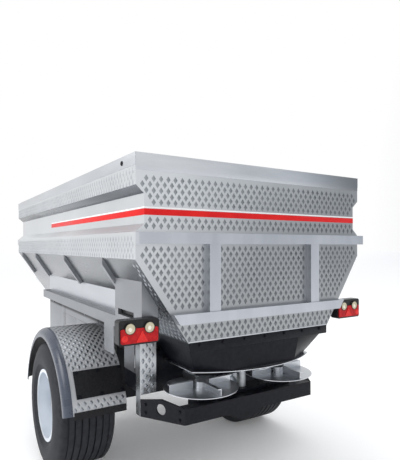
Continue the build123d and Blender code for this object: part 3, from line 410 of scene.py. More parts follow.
# Faces of the mudguard that look towards its middle are painted darker, as painted shade inside the guard.
GUARD_INSIDE_SHADE = 0.10
shaded_sheet = finish_of("shaded_sheet", (0.09, 0.10, 0.11), (0.19, 0.20, 0.22), 0.24, 1, (5, 1, 5))
rear_sheet = finish_of("rear_sheet", (0.66, 0.68, 0.70), (0.74, 0.76, 0.78), 0.30, 1, 2, fade=REAR_PAINTED_SHADE)
bar_sheet = finish_of("bar_sheet", (0.46, 0.48, 0.52), (0.54, 0.56, 0.60), 0.34, 1, (9, 9, 2))
band_sheet = finish_of("band_sheet", (0.54, 0.56, 0.59), (0.62, 0.64, 0.67), 0.34, 1, (2, 14, 14),
                       fade=BAND_PAINTED_SHADE)
side_sheet = finish_of("side_sheet", (0.58, 0.60, 0.62), (0.66, 0.68, 0.70), 0.34, 0.9, 2)
matt_sheet = finish_of("matt_sheet", (0.29, 0.30, 0.32), (0.35, 0.36, 0.38), 0.48, 1, (8, 3, 8))
panel_sheet = finish_of("panel_sheet", (0.29, 0.30, 0.32), (0.35, 0.36, 0.38), 0.48, 1, (8, 3, 8),
                        fade=PANEL_PAINTED_SHADOW)
guard_sheet = finish_of("guard_sheet", (0.46, 0.47, 0.49), (0.56, 0.57, 0.59), 0.45, 0.55, 3)
guard_low, guard_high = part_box("mudguard_left")
shade_inside(guard_sheet, (0, (guard_low[1] + guard_high[1]) / 2, guard_centre.z), GUARD_INSIDE_SHADE)
own_finish = {
    "rear_wall": rear_sheet, "rear_cross_bars": bar_sheet, "rear_uprights": bar_sheet,
    "side_wall_left": side_sheet, "side_wall_right": side_sheet,
    "mudguard_left": guard_sheet, "mudguard_right": guard_sheet,
    "side_ribs": matt_sheet, "side_rails": matt_sheet, "outriggers": matt_sheet,
    "rear_column_left": matt_sheet, "rear_column_right": matt_sheet, "lower_panels": panel_sheet,
}
print(len(own_finish), "solids have a tone of their own")

# %% Slopes, and every solid's finish
SHEET = 0.004
SLOPE_OUTSIDE_SHADE = 0.28
slope_level = slope_run.x * FOOT_Z - slope_run.z * FOOT_HALF
# Each slope's outer face is painted darker than its inner face, as painted shade; the change lies within the
# sheet.
for side, inwards in (("left", 1), ("right", -1)):
    across = (inwards * slope_run.z, 0, slope_run.x)
    slope_painted_shade = (across, slope_level + 0.2 * SHEET, slope_level + 0.8 * SHEET, SLOPE_OUTSIDE_SHADE)
    own_finish["slope_" + side] = finish_of("slope_sheet_" + side, (0.32, 0.36, 0.39), (0.68, 0.71, 0.78),
                                            0.24, 1, (5, 1, 5), fade=slope_painted_shade)
slot_of = {part["node"]: part["material_slot"] for part in frame["record"]["subparts"]}
for node, solid in frame["nodes"].items():
    solid.data.materials.clear()
    solid.data.materials.append(own_finish.get(node, finishes[slot_of[node]]))
print(len(slot_of), "solids finished")

# %% [markdown]
# ## Working with pieces
# A fitter would cut each small part once and fit copies of it. Here every added piece starts as a
# primitive, is shaped in edit mode and then settles: its place goes into its mesh, it takes a finish and
# it rides on the body that carries it. Mirrored copies could come from a modifier, but a copy with its
# own mesh can ride on a body of its own.

# %% Selecting and editing


def take(piece):
    """Select one piece and make it active."""
    deselect()
    piece.select_set(True)
    bpy.context.view_layer.objects.active = piece


def joined(pieces):
    """Join pieces into the first of them."""
    take(pieces[0])
    for piece in pieces:
        piece.select_set(True)
    if len(pieces) > 1:
        bpy.ops.object.join()
    return bpy.context.active_object


def pick_faces(piece, test):
    """Open a piece in edit mode with only the faces that pass a test selected."""
    take(piece)
    bpy.ops.object.mode_set(mode="EDIT")
    bpy.ops.mesh.select_mode(type="FACE")
    bpy.ops.mesh.select_all(action="DESELECT")
    bpy.ops.object.mode_set(mode="OBJECT")
    for face in piece.data.polygons:
        face.select = test(face)
    bpy.ops.object.mode_set(mode="EDIT")


def close_edit():
    """Go back to object mode."""
    bpy.ops.object.mode_set(mode="OBJECT")


print("selecting and editing ready")

# %% Settling


def apply_place(piece):
    """Put a piece's place, turn and scale into its mesh."""
    take(piece)
    bpy.ops.object.transform_apply(location=True, rotation=True, scale=True)


def settle(piece, name, body, slot=None, finish=None, smooth=30):
    """Put a piece's place into its mesh, give it a finish and let it ride on a body."""
    apply_place(piece)
    bpy.ops.object.shade_smooth_by_angle(angle=radians(smooth))
    piece.name = name
    piece.data.name = name
    piece.data.materials.clear()
    piece.data.materials.append(finish or finishes[slot])
    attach(piece, body)
    print(name, "has", len(piece.data.polygons), "faces")
    return piece


print("pieces can settle")

# %% Copies on both sides
ACROSS, TO_FRONT, TO_REAR, UP = (1, 0, 0), (0, 1, 0), (0, -1, 0), (0, 0, 1)
MIRROR = Matrix.Scale(-1, 4, ACROSS)


def copies(model, places):
    """Copy a model's mesh to each place, given as a matrix, and join the copies into one piece."""
    made = []
    for place in places:
        copy = model.copy()
        copy.data = model.data.copy()
        copy.data.transform(place)
        if place.is_negative:
            copy.data.flip_normals()
        bpy.context.scene.collection.objects.link(copy)
        made.append(copy)
    return joined(made)


def settle_pair(model, name, body, slot, finish=None, smooth=30, side="right"):
    """Settle a model made for one side and its mirror image, with the side written into name and body."""
    other = "left" if side == "right" else "right"
    image = copies(model, [MIRROR])
    return {
        other: settle(image, name.format(other), body.format(other), slot, finish, smooth),
        side: settle(model, name.format(side), body.format(side), slot, finish, smooth),
    }


def facing(place, out):
    """Matrix that stands a model on a place with its own Z along a direction."""
    return Matrix.Translation(place) @ Vector(out).to_track_quat("Z", "Y").to_matrix().to_4x4()


print("copies mirror across x")

# %% Blocks and turned pieces
MERGE = 0.00002


def slab(low, high, edge):
    """Add a block between two corners and round its edges."""
    low, high = Vector(low), Vector(high)
    deselect()
    bpy.ops.mesh.primitive_cube_add(size=1, location=(low + high) / 2, scale=high - low)
    piece = bpy.context.active_object
    apply_place(piece)
    bpy.ops.object.mode_set(mode="EDIT")
    bpy.ops.mesh.select_all(action="SELECT")
    bpy.ops.mesh.bevel(offset=edge, segments=2, affect="EDGES")
    close_edit()
    return piece


def turned(profile, centre, axis, spoke, steps, angle=2 * pi):
    """Draw a closed profile by extruding a vertex, then spin it round an axis.

    The profile's points are given as (along the axis, radius).
    """
    centre, axis, spoke = Vector(centre), Vector(axis), Vector(spoke)
    points = [centre + axis * along + spoke * radius for along, radius in profile]
    deselect()
    bpy.ops.mesh.primitive_plane_add(size=0.001, location=(0, 0, 0))
    piece = bpy.context.active_object
    bpy.ops.object.mode_set(mode="EDIT")
    bpy.ops.mesh.select_mode(type="VERT")
    bpy.ops.mesh.select_all(action="SELECT")
    bpy.ops.mesh.merge(type="CENTER")
    bpy.ops.transform.translate(value=points[0])
    for before, after in zip(points, points[1:] + points[:1]):
        bpy.ops.mesh.extrude_region_move(TRANSFORM_OT_translate={"value": after - before})
    bpy.ops.mesh.select_all(action="SELECT")
    bpy.ops.mesh.remove_doubles(threshold=MERGE)
    bpy.ops.mesh.spin(steps=steps, angle=angle, center=centre, axis=axis)
    bpy.ops.mesh.select_all(action="SELECT")
    bpy.ops.mesh.remove_doubles(threshold=MERGE)
    bpy.ops.mesh.fill_holes(sides=0)
    bpy.ops.mesh.normals_make_consistent(inside=False)
    close_edit()
    return piece


print("blocks and turned pieces ready")

# %% [markdown]
# ## Bosses pressed into the sheet
# The hopper is made of sheet with a pressed lozenge pattern. A bump in the finish could draw it, but real
# relief catches the light from every side. A press leaves thousands of like bosses, so one low boss of a
# few faces is modelled, an array makes rows of it, and the rows are laid in a staggered lattice on each
# panel.

# %% One boss
BOSS_PITCH = 0.044
ROW_STEP = 0.0315
BOSS_REACH, BOSS_TOP = 0.0128, 0.0064
BOSS_STRETCH = 1.5
BOSS_HEIGHT = 0.003
BOSS_ROUNDING = 0.0014
deselect()
bpy.ops.mesh.primitive_cone_add(vertices=4, radius1=BOSS_REACH, radius2=BOSS_TOP, depth=BOSS_HEIGHT,
                                location=(0, 0, BOSS_HEIGHT / 2), scale=(1, BOSS_STRETCH, 1))
boss = bpy.context.active_object
pick_faces(boss, lambda face: face.normal.z < -0.5)
bpy.ops.mesh.delete(type="FACE")
close_edit()
pick_faces(boss, lambda face: face.normal.z > 0.9)
bpy.ops.mesh.bevel(offset=BOSS_ROUNDING, segments=1, affect="EDGES")
close_edit()
apply_place(boss)
print("one boss has", len(boss.data.polygons), "faces")

# %% Rows of bosses
boss_rows = {}


def boss_row(count):
    """Return a row of bosses, made once for each count with an array."""
    if count not in boss_rows:
        row = boss.copy()
        row.data = boss.data.copy()
        bpy.context.scene.collection.objects.link(row)
        array = row.modifiers.new("row", "ARRAY")
        array.use_relative_offset = False
        array.use_constant_offset = True
        array.constant_offset_displace = (BOSS_PITCH, 0, 0)
        array.count = count
        take(row)
        bpy.ops.object.modifier_apply(modifier="row")
        boss_rows[count] = row
    return boss_rows[count]


def lay_rows(rows):
    """Join rows, given as (count, matrix), into one piece."""
    return joined([copies(boss_row(count), [place]) for count, place in rows])


def panel_rows(origin, across, up, width, height, keep):
    """List the rows of a flat panel, broken wherever the test turns a place down."""
    origin, across, up = Vector(origin), Vector(across), Vector(up)
    turn = Matrix((across, up, across.cross(up))).transposed().to_4x4()
    rows = []
    for row in range(int(height / ROW_STEP) + 1):
        start = BOSS_PITCH / 2 * (row % 2)
        rise = row * ROW_STEP
        run = []
        for column in range(int((width - start) / BOSS_PITCH) + 2):
            place = origin + across * (start + column * BOSS_PITCH) + up * rise
            if start + column * BOSS_PITCH <= width and keep(place):
                run.append(place)
            elif run:
                rows.append((len(run), Matrix.Translation(run[0]) @ turn))
                run = []
    return rows


print("rows are", ROW_STEP, "m apart")

# %% Bosses on the rear wall
PLAIN_BANDS = ((1.222, 1.321), (1.664, 1.766), (1.816, 1.904))
EDGE_MARGIN = 0.018
UPRIGHT_X, UPRIGHT_CLEAR = 0.400, 0.053
UPRIGHT_FOOT, UPRIGHT_TOP = 1.3, 1.69
LATTICE_HALF = 0.858
LATTICE_FOOT, LATTICE_TOP = 1.150, 2.052
DOT_SMOOTH = 50
# The bosses' finish is darker than the wall's, as painted shade for the darker surroundings their faces
# reflect, and it takes the wall's painted shade fade too.
rear_shaded_dots = finish_of("rear_shaded_dots", (0.26, 0.28, 0.30), (0.36, 0.38, 0.40), 0.30, 1, 6, fade=REAR_PAINTED_SHADE)


def wall_half(z):
    """Half the rear wall's width at a height."""
    for (low, low_half), (high, high_half) in zip(WALL_OUTLINE, WALL_OUTLINE[1:]):
        if z <= high:
            return low_half + (z - low) / (high - low) * (high_half - low_half)


def on_rear_wall(place):
    """True where the rear wall shows its pressed sheet."""
    if abs(place.x) > wall_half(place.z) - EDGE_MARGIN:
        return False
    if any(low < place.z < high for low, high in PLAIN_BANDS):
        return False
    beside_upright = abs(abs(place.x) - UPRIGHT_X) < UPRIGHT_CLEAR
    return not (UPRIGHT_FOOT < place.z < UPRIGHT_TOP and beside_upright)


wall_rows = panel_rows((-LATTICE_HALF, rear_face, LATTICE_FOOT), ACROSS, UP, 2 * LATTICE_HALF,
                       LATTICE_TOP - LATTICE_FOOT, on_rear_wall)
settle(lay_rows(wall_rows), "rear_wall_bosses", "chassis", "embossed_steel", rear_shaded_dots, DOT_SMOOTH)

# %% Bosses on the side walls
# (foot, height) of the two pressed panels above and below the channel
SIDE_PANELS = ((2.008, 0.088), (1.616, 0.120))
SIDE_START, SIDE_RUN = 3.335, 3.31
# The side bosses' finish is darker than the side wall's, as painted shade.
side_shaded_dots = finish_of("side_shaded_dots", (0.44, 0.46, 0.49), (0.54, 0.56, 0.58), 0.34, 0.9, 6)
side_rows = []
for foot, height in SIDE_PANELS:
    side_rows += panel_rows((-HOPPER_HALF, ahead(SIDE_START), foot), TO_REAR, UP, SIDE_RUN, height,
                            lambda place: True)
settle_pair(lay_rows(side_rows), "{}_wall_bosses", "chassis", "embossed_steel", side_shaded_dots, DOT_SMOOTH, "left")

# %% Bosses on the slopes and legs
COLUMN_REAR = 0.09
COLUMN_INSIDE = 0.670
LEG_REAR = 0.385
UNDER_SLOPE = 0.03
SLOPE_START, SLOPE_SIZE = (-0.568, ahead(LEG_REAR), 1.146), (0.36, 0.53)
LEG_START, LEG_SIZE = (-0.650, ahead(0.400), 0.765), (0.080, 0.50)
# These bosses' finish is darker than the sheet round them, as painted shade.
pressed_shaded_dots = finish_of("pressed_shaded_dots", (0.28, 0.30, 0.33), (0.40, 0.42, 0.45), 0.30, 1, 6)


def on_slope(place):
    """True on the bare sheet behind the leg and the column."""
    depth = place.y - rear_face
    return depth < COLUMN_REAR or (abs(place.x) < COLUMN_INSIDE and depth < LEG_REAR)


def below_slope(place):
    """True where a leg's plate still lies below the slope."""
    return place.z < FOOT_Z + (abs(place.x) - FOOT_HALF) * slope_run.z / slope_run.x - UNDER_SLOPE


slope_rows = panel_rows(SLOPE_START, TO_REAR, (-slope_run.x, 0, slope_run.z), *SLOPE_SIZE, on_slope)
leg_rows = panel_rows(LEG_START, ACROSS, UP, *LEG_SIZE, below_slope)
settle_pair(lay_rows(slope_rows + leg_rows), "{}_slope_bosses", "chassis", "embossed_steel", pressed_shaded_dots,
            DOT_SMOOTH, "left")

# %% Bosses on the mudguards
GUARD_RADIUS = 0.650
FIRST_RISE, LAST_RISE = radians(19.0), radians(166)
FLAP_FOOT, FLAP_TOP = radians(22.9), radians(43.2)
GUARD_ROWS = 54
BOSSES_ACROSS = 8
OUTER_BOSS = 0.976
guard_rows = []
for step in range(GUARD_ROWS):
    rise = FIRST_RISE + step * ROW_STEP / GUARD_RADIUS
    if FLAP_FOOT < rise < FLAP_TOP or rise > LAST_RISE:
        continue
    out = Vector((0, -cos(rise), sin(rise)))
    turn = Matrix((ACROSS, (0, sin(rise), cos(rise)), out)).transposed().to_4x4()
    start = Vector((BOSS_PITCH / 2 * (step % 2) - OUTER_BOSS, 0, 0))
    guard_rows.append((BOSSES_ACROSS, Matrix.Translation(guard_centre + out * GUARD_RADIUS + start) @ turn))
settle_pair(lay_rows(guard_rows), "{}_guard_bosses", "chassis", "embossed_steel", pressed_shaded_dots, DOT_SMOOTH,
            "left")
for model in [boss, *boss_rows.values()]:
    bpy.data.objects.remove(model)

# %% [markdown]
# ## Plain rim band and stripe
# The top of the hopper is stiffened by a plain folded band over the pressed sheet. A red stripe with a
# pale edge runs along the channel and across the rear. On the real machine it is film or paint. It could
# be drawn in the wall's finish, but a very thin slab keeps its edges sharp at any distance.

# %% Rim band
REAR_BAND = 0.092
SIDE_BAND = 0.068
BAND_PROUD = 0.0025
SUNK = 0.0005
BAND_EDGE = 0.0008
rear_band = slab((SUNK - HOPPER_HALF, rear_face - BAND_PROUD, HOPPER_TOP - REAR_BAND),
                 (HOPPER_HALF - SUNK, rear_face + SUNK, HOPPER_TOP), BAND_EDGE)
settle(rear_band, "rim_band_rear", "chassis", "plain_steel", band_sheet)
side_band = slab((HOPPER_HALF - SUNK, ahead(-BAND_PROUD), HOPPER_TOP - SIDE_BAND),
                 (HOPPER_HALF + BAND_PROUD, ahead(HOPPER_LENGTH), HOPPER_TOP), BAND_EDGE)
settle_pair(side_band, "rim_band_{}", "chassis", "plain_steel")

# %% Stripe
STRIPE = (1.838, 1.872)
STRIPE_EDGE = (1.874, 1.882)
STRIPE_LENGTH = 2.00
FILM_PROUD = 0.0012
FILM_SUNK = 0.0004
FILM_EDGE = 0.0003
red_film = finish_of("red_film", (0.62, 0.010, 0.012), (0.74, 0.016, 0.016), 0.38, 0, 8, specular=0.15)
pale_film = finish_of("pale_film", (0.80, 0.80, 0.80), (0.88, 0.88, 0.88), 0.45, 0, 8)
for name, (low, high), film in (("stripe_red", STRIPE, red_film), ("stripe_edge", STRIPE_EDGE, pale_film)):
    across = slab((-CHANNEL_HALF, rear_face - FILM_PROUD, low), (CHANNEL_HALF, rear_face + FILM_SUNK, high),
                  FILM_EDGE)
    along = slab((CHANNEL_HALF - FILM_SUNK, ahead(-FILM_PROUD), low),
                 (CHANNEL_HALF + FILM_PROUD, ahead(STRIPE_LENGTH), high), FILM_EDGE)
    settle(joined([across, along, copies(along, [MIRROR])]), name, "chassis", None, film)

# %% [markdown]
# ## Channel strips
# The channel's upper edge leans outwards over the stripe, so it faces the ground and stays dark. A fade in
# the wall's finish would darken the wall round it too, so a thin darker strip lies along the edge as painted
# shade. It is made flat at the origin and then turned onto the slant.

# %% Channel strips
STRIP_HALF = 0.031
STRIP_SKIN = (0.0002, 0.0014)
STRIP_END = 0.004
(slant_foot, slant_inside), (slant_top, slant_outside) = WALL_OUTLINE[4:6]
slant_up = Vector((slant_outside - slant_inside, 0, slant_top - slant_foot)).normalized()
slant_out = Vector((slant_up.z, 0, -slant_up.x))
slant_middle = ((slant_inside + slant_outside) / 2, 0, (slant_foot + slant_top) / 2)
strip = slab((STRIP_SKIN[0], ahead(STRIP_END), -STRIP_HALF),
             (STRIP_SKIN[1], ahead(HOPPER_LENGTH - STRIP_END), STRIP_HALF), FILM_EDGE)
onto_slant = Matrix.Translation(slant_middle) @ Matrix((slant_out, TO_FRONT, slant_up)).transposed().to_4x4()
strips = copies(strip, [onto_slant, MIRROR @ onto_slant])
bpy.data.objects.remove(strip)
settle(strips, "channel_shade_strips", "chassis", "embossed_steel", shaded_sheet)

# %% [markdown]
# ## Tyres and wheels
# A wide trailer tyre has plain grooves round its tread and a raised ring on each side. Grooves could be
# cut out of the solid, but a turned section needs no cutting: the profile is drawn once and spun round
# the axle, and the detailed tyre stands for the plain solid. Nuts on studs hold the wheel's plate.

# %% Tyres
WHEEL_MIDDLE = Vector((0.835, ahead(AXLE_AHEAD), 0.465))
# (along the axle from the middle, radius) from the bead to the shoulder
TYRE_SIDE = ((0.1846, 0.2503), (0.1848, 0.2655), (0.1965, 0.2850), (0.2080, 0.3030), (0.2128, 0.3075),
             (0.2150, 0.3150), (0.2150, 0.3230), (0.2192, 0.3450), (0.2184, 0.3620), (0.2150, 0.3850),
             (0.2085, 0.4100), (0.2005, 0.4300), (0.1960, 0.4420), (0.1890, 0.4525), (0.1800, 0.4600))
TREAD_RADIUS, TREAD_HALF, CROWN_DROP = 0.465, 0.172, 0.0015
GROOVES = (0.144, 0.098, 0.049, 0.0, -0.049, -0.098, -0.144)
GROOVE_DEPTH = 0.012
OUTER_SHARE = 0.6
GROOVE_MOUTH, GROOVE_FLOOR = 0.0065, 0.0045
TYRE_STEPS = 96
TYRE_SMOOTH = 40
tread = [(TREAD_HALF, TREAD_RADIUS - CROWN_DROP)]
for middle in GROOVES:
    crown = TREAD_RADIUS - CROWN_DROP * (middle / TREAD_HALF) ** 2
    depth = GROOVE_DEPTH * OUTER_SHARE if abs(middle) == GROOVES[0] else GROOVE_DEPTH
    tread += [(middle + GROOVE_MOUTH, crown), (middle + GROOVE_FLOOR, crown - depth),
              (middle - GROOVE_FLOOR, crown - depth), (middle - GROOVE_MOUTH, crown)]
tread.append((-TREAD_HALF, TREAD_RADIUS - CROWN_DROP))
tyre_profile = list(TYRE_SIDE) + tread + [(-along, radius) for along, radius in reversed(TYRE_SIDE)]
tyre = turned(tyre_profile, WHEEL_MIDDLE, ACROSS, UP, TYRE_STEPS)
tyres = settle_pair(tyre, "treaded_tyre_{}", "wheel_{}", "tyre_rubber", smooth=TYRE_SMOOTH)
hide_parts("tyre_left")
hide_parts("tyre_right")

# %% Wheel nuts and hub caps
NUT_REACH, NUT_HEIGHT = 0.0165, 0.020
STUD_INSET, STUD_HEIGHT = 0.0065, 0.012
NUT_CIRCLE = 0.112
NUTS = 10
NUT_SEAT = 0.039
ROUND_STEPS = 32
CAP_PROFILE = ((0.124, 0.0005), (0.124, 0.060), (0.134, 0.058), (0.140, 0.046), (0.143, 0.024),
               (0.144, 0.0005))
deselect()
bpy.ops.mesh.primitive_cylinder_add(vertices=6, radius=NUT_REACH, depth=NUT_HEIGHT,
                                    location=(0, 0, NUT_HEIGHT / 2))
nut = bpy.context.active_object
apply_place(nut)
pick_faces(nut, lambda face: face.normal.z > 0.9)
bpy.ops.mesh.inset(thickness=STUD_INSET)
bpy.ops.mesh.extrude_region_move(TRANSFORM_OT_translate={"value": (0, 0, STUD_HEIGHT)})
close_edit()
nut_places = []
for number in range(NUTS):
    turn = 2 * pi * (number + 0.5) / NUTS
    spoke = Vector((NUT_SEAT, NUT_CIRCLE * cos(turn), NUT_CIRCLE * sin(turn)))
    nut_places.append(facing(WHEEL_MIDDLE + spoke, ACROSS))
cap = turned(CAP_PROFILE, WHEEL_MIDDLE, ACROSS, UP, ROUND_STEPS)
settle_pair(joined([copies(nut, nut_places), cap]), "wheel_nuts_{}", "wheel_{}", "grey_steel")
bpy.data.objects.remove(nut)

# %% [markdown]
# ## Mudguard edging
# The rolled edge of each mudguard wears a dark edging along the whole arc. Its dark blue-grey is painted
# shade, standing for the shaded side of the rolled steel. It could be a bevelled curve, but spinning one
# section about the wheel arch's middle lets the edging follow the roll exactly, a little outside it.

# %% Mudguard edging
ROLL_MIDDLE = (0.992, 0.600)
ROLL_ANGLES = [radians(value) for value in range(0, 91, 10)]
EDGING_OUTSIDE, EDGING_INSIDE = 0.0535, 0.0503
LIP_OUTSIDE, LIP_INSIDE, LIP_RADIUS = 1.0455, 1.0424, 0.584
EDGING_RISE, EDGING_ARC, EDGING_STEPS = radians(16), radians(152), 48
# The edging's dark blue-grey is painted shade.
edge_shade_grey = finish_of("edge_shade_grey", (0.032, 0.042, 0.064), (0.050, 0.062, 0.090), 0.28, 0, 12)


def round_roll(radius):
    """Points on the mudguard's rolled edge at some radius, from the crown outwards."""
    x, height = ROLL_MIDDLE
    return [(x + radius * sin(turn), height + radius * cos(turn)) for turn in ROLL_ANGLES]


outside = round_roll(EDGING_OUTSIDE) + [(LIP_OUTSIDE, LIP_RADIUS)]
inside = [(LIP_INSIDE, LIP_RADIUS)] + round_roll(EDGING_INSIDE)[::-1]
edging_start = (0, -cos(EDGING_RISE), sin(EDGING_RISE))
edging = turned(outside + inside, guard_centre, ACROSS, edging_start, EDGING_STEPS, EDGING_ARC)
settle_pair(edging, "guard_edging_{}", "chassis", "rubber", edge_shade_grey, TYRE_SMOOTH)

# %% [markdown]
# ## Lamps
# Each lamp has two round lenses set in the red one. A thin bezel closes the gap round them, and a stepped
# ring with a bulb in its middle stands on each. A trailer also shows a red triangle, and a small round
# red lens sits in the outer corner. Painted rings would look flat from the side, so the rings are turned,
# and the triangle is a three-sided prism with an inset, sunken face.

# %% Turned lamp details
LAMP_X = 0.8325
LENS_SPREAD = 0.056
LENS_Z = 1.236
BULB_DROP = 0.004
LENS_FRONT = ahead(0.036)
CORNER_LENS = (LAMP_X + 0.086, LENS_FRONT, 1.186)
BEZEL_PROFILE = ((-0.004, 0.0284), (0.003, 0.0284), (0.003, 0.0306), (-0.004, 0.0306))
RING_PROFILE = ((-0.001, 0.013), (0.0014, 0.014), (0.0022, 0.017), (0.0010, 0.019), (0.0022, 0.022),
                (0.0014, 0.026), (-0.001, 0.027))
BULB_PROFILE = ((-0.001, 0.0005), (0.0034, 0.0005), (0.0030, 0.006), (0.0016, 0.0105), (-0.001, 0.0125))
CORNER_PROFILE = ((-0.001, 0.0005), (0.0034, 0.0005), (0.0030, 0.010), (0.0018, 0.0165), (-0.001, 0.0190))
SMALL_STEPS = 24
bezels, rings, bulbs = [], [], []
for x in (LAMP_X - LENS_SPREAD, LAMP_X + LENS_SPREAD):
    bezels.append(turned(BEZEL_PROFILE, (x, LENS_FRONT, LENS_Z), TO_REAR, UP, ROUND_STEPS))
    rings.append(turned(RING_PROFILE, (x, LENS_FRONT, LENS_Z), TO_REAR, UP, ROUND_STEPS))
    bulbs.append(turned(BULB_PROFILE, (x, LENS_FRONT, LENS_Z - BULB_DROP), TO_REAR, UP, SMALL_STEPS))
corner = turned(CORNER_PROFILE, CORNER_LENS, TO_REAR, UP, ROUND_STEPS)
print("each lamp has", len(rings), "rings")

# %% Triangle
TRIANGLE_REACH, TRIANGLE_DEPTH = 0.040, 0.004
TRIANGLE_INSET, TRIANGLE_SINK = 0.006, 0.0015
TRIANGLE_PLACE = (LAMP_X - 0.012, LENS_FRONT - 0.001, 1.182)
deselect()
bpy.ops.mesh.primitive_cylinder_add(vertices=3, radius=TRIANGLE_REACH, depth=TRIANGLE_DEPTH,
                                    location=(0, 0, 0))
triangle = bpy.context.active_object
pick_faces(triangle, lambda face: face.normal.z > 0.9)
bpy.ops.mesh.inset(thickness=TRIANGLE_INSET)
bpy.ops.mesh.extrude_region_move(TRANSFORM_OT_translate={"value": (0, 0, -TRIANGLE_SINK)})
close_edit()
upright = Matrix((ACROSS, UP, TO_REAR)).transposed().to_4x4()
triangle.data.transform(Matrix.Translation(TRIANGLE_PLACE) @ upright)
print("the triangle has", len(triangle.data.polygons), "faces")

# %% Both lamps
red_glow = finish_of("red_reflector", (0.62, 0.010, 0.012), (0.80, 0.030, 0.025), 0.20, 0, 160, 0.4, 0.3)
# The bulbs' pale finish is partly a painted highlight: it stands for the bright spot low on each lens as well
# as for the bulb.
bulb_pale_highlight = finish_of("bulb_pale_highlight", (0.82, 0.78, 0.66), (0.92, 0.88, 0.78), 0.20, 0, 60)
lamp_pieces = (
    ("lamp_bezels", bezels, "black_plastic", None),
    ("lamp_rings", rings, "clear_lens", None),
    ("lamp_bulbs", bulbs, "clear_lens", bulb_pale_highlight),
    ("lamp_reflectors", [corner, triangle], "red_lens", red_glow),
)
for name, models, slot, finish in lamp_pieces:
    one = joined(models)
    settle(joined([one, copies(one, [MIRROR])]), name, "chassis", slot, finish)

# %% [markdown]
# ## Bolts
# Bolts show where plates meet: along the metering box, on the flap plates, at both ends of the arms, on
# the tow eye's flange and on the front gearbox. They could be joined to the solids, but then a change of
# plate would mean a new pack. One hexagon head on a washer is modelled, and each place turns a copy to
# its plate.

# %% One bolt
WASHER_REACH, WASHER_DEPTH = 0.013, 0.002
HEAD_REACH, HEAD_DEPTH, HEAD_EDGE = 0.0095, 0.007, 0.0012
deselect()
bpy.ops.mesh.primitive_cylinder_add(vertices=16, radius=WASHER_REACH, depth=WASHER_DEPTH,
                                    location=(0, 0, WASHER_DEPTH / 2))
washer = bpy.context.active_object
apply_place(washer)
pick_faces(washer, lambda face: face.normal.z < -0.5)
bpy.ops.mesh.delete(type="FACE")
close_edit()
deselect()
bpy.ops.mesh.primitive_cylinder_add(vertices=6, radius=HEAD_REACH, depth=HEAD_DEPTH,
                                    location=(0, 0, WASHER_DEPTH + HEAD_DEPTH / 2))
head = bpy.context.active_object
apply_place(head)
pick_faces(head, lambda face: face.normal.z > 0.9)
bpy.ops.mesh.bevel(offset=HEAD_EDGE, segments=1, affect="EDGES")
close_edit()
bolt = joined([washer, head])
print("one bolt has", len(bolt.data.polygons), "faces")

# %% Bolts in place
FLANGE_PROUD = 0.0040
FLANGE_BOLTS, FLANGE_BOLT_Z = (-0.48, -0.32, -0.16, 0.0, 0.16, 0.32, 0.48), 1.112
FLAP_RISE, FLAP_RADIUS = radians(33), 0.6543
FLAP_BOLTS, FLAP_BOLT_RISES = (0.640, 0.790, 0.940), (-0.080, 0.080)
# Where the arm starts, and how far it runs outwards and forwards
ARM_X, ARM_AHEAD = 0.513, 0.112
ARM_OUT, ARM_FORWARD = 0.153, 0.283
ARM_SHARES, ARM_BOLT_HEIGHTS = (0.12, 0.90), (0.642, 0.693)
# (half spacing, ahead of the rear face, heights) on the tow eye's flange and on the front gearbox
FRONT_BOLTS = ((0.045, 4.500, (0.635, 0.725)), (0.070, 3.520, (0.955, 1.105)))
flap_out = Vector((0, -cos(FLAP_RISE), sin(FLAP_RISE)))
flap_up = Vector((0, sin(FLAP_RISE), cos(FLAP_RISE)))
flap_face = guard_centre + flap_out * FLAP_RADIUS
zinc_places = []
dark_places = [facing((x, rear_face - FLANGE_PROUD, FLANGE_BOLT_Z), TO_REAR) for x in FLANGE_BOLTS]
for side in (-1, 1):
    for x in FLAP_BOLTS:
        for rise in FLAP_BOLT_RISES:
            dark_places.append(facing(flap_face + flap_up * rise + Vector((side * x, 0, 0)), flap_out))
    for share in ARM_SHARES:
        for z in ARM_BOLT_HEIGHTS:
            place = (side * (ARM_X + ARM_OUT * share), ahead(ARM_AHEAD + ARM_FORWARD * share), z)
            dark_places.append(facing(place, (side * ARM_FORWARD, -ARM_OUT, 0)))
    for half_spacing, bolt_ahead, heights in FRONT_BOLTS:
        for z in heights:
            zinc_places.append(facing((side * half_spacing, ahead(bolt_ahead), z), TO_FRONT))
settle(copies(bolt, zinc_places), "zinc_bolts", "chassis", "grey_steel")
settle(copies(bolt, dark_places), "black_bolts", "chassis", "dark_steel")
bpy.data.objects.remove(bolt)

# %% [markdown]
# ## Flange and spray plates
# The metering box hangs from a black flange bolted across the foot of the rear wall, and the wall's
# bright folded edge shows as a line above it. Ahead of each leg a black plate keeps spray from the wheel
# off the chassis. All are flat plates, so a thin block with rounded edges gives them the highlight that a
# bare plane would lack, and the flange's lower edge is drawn in to follow the box.

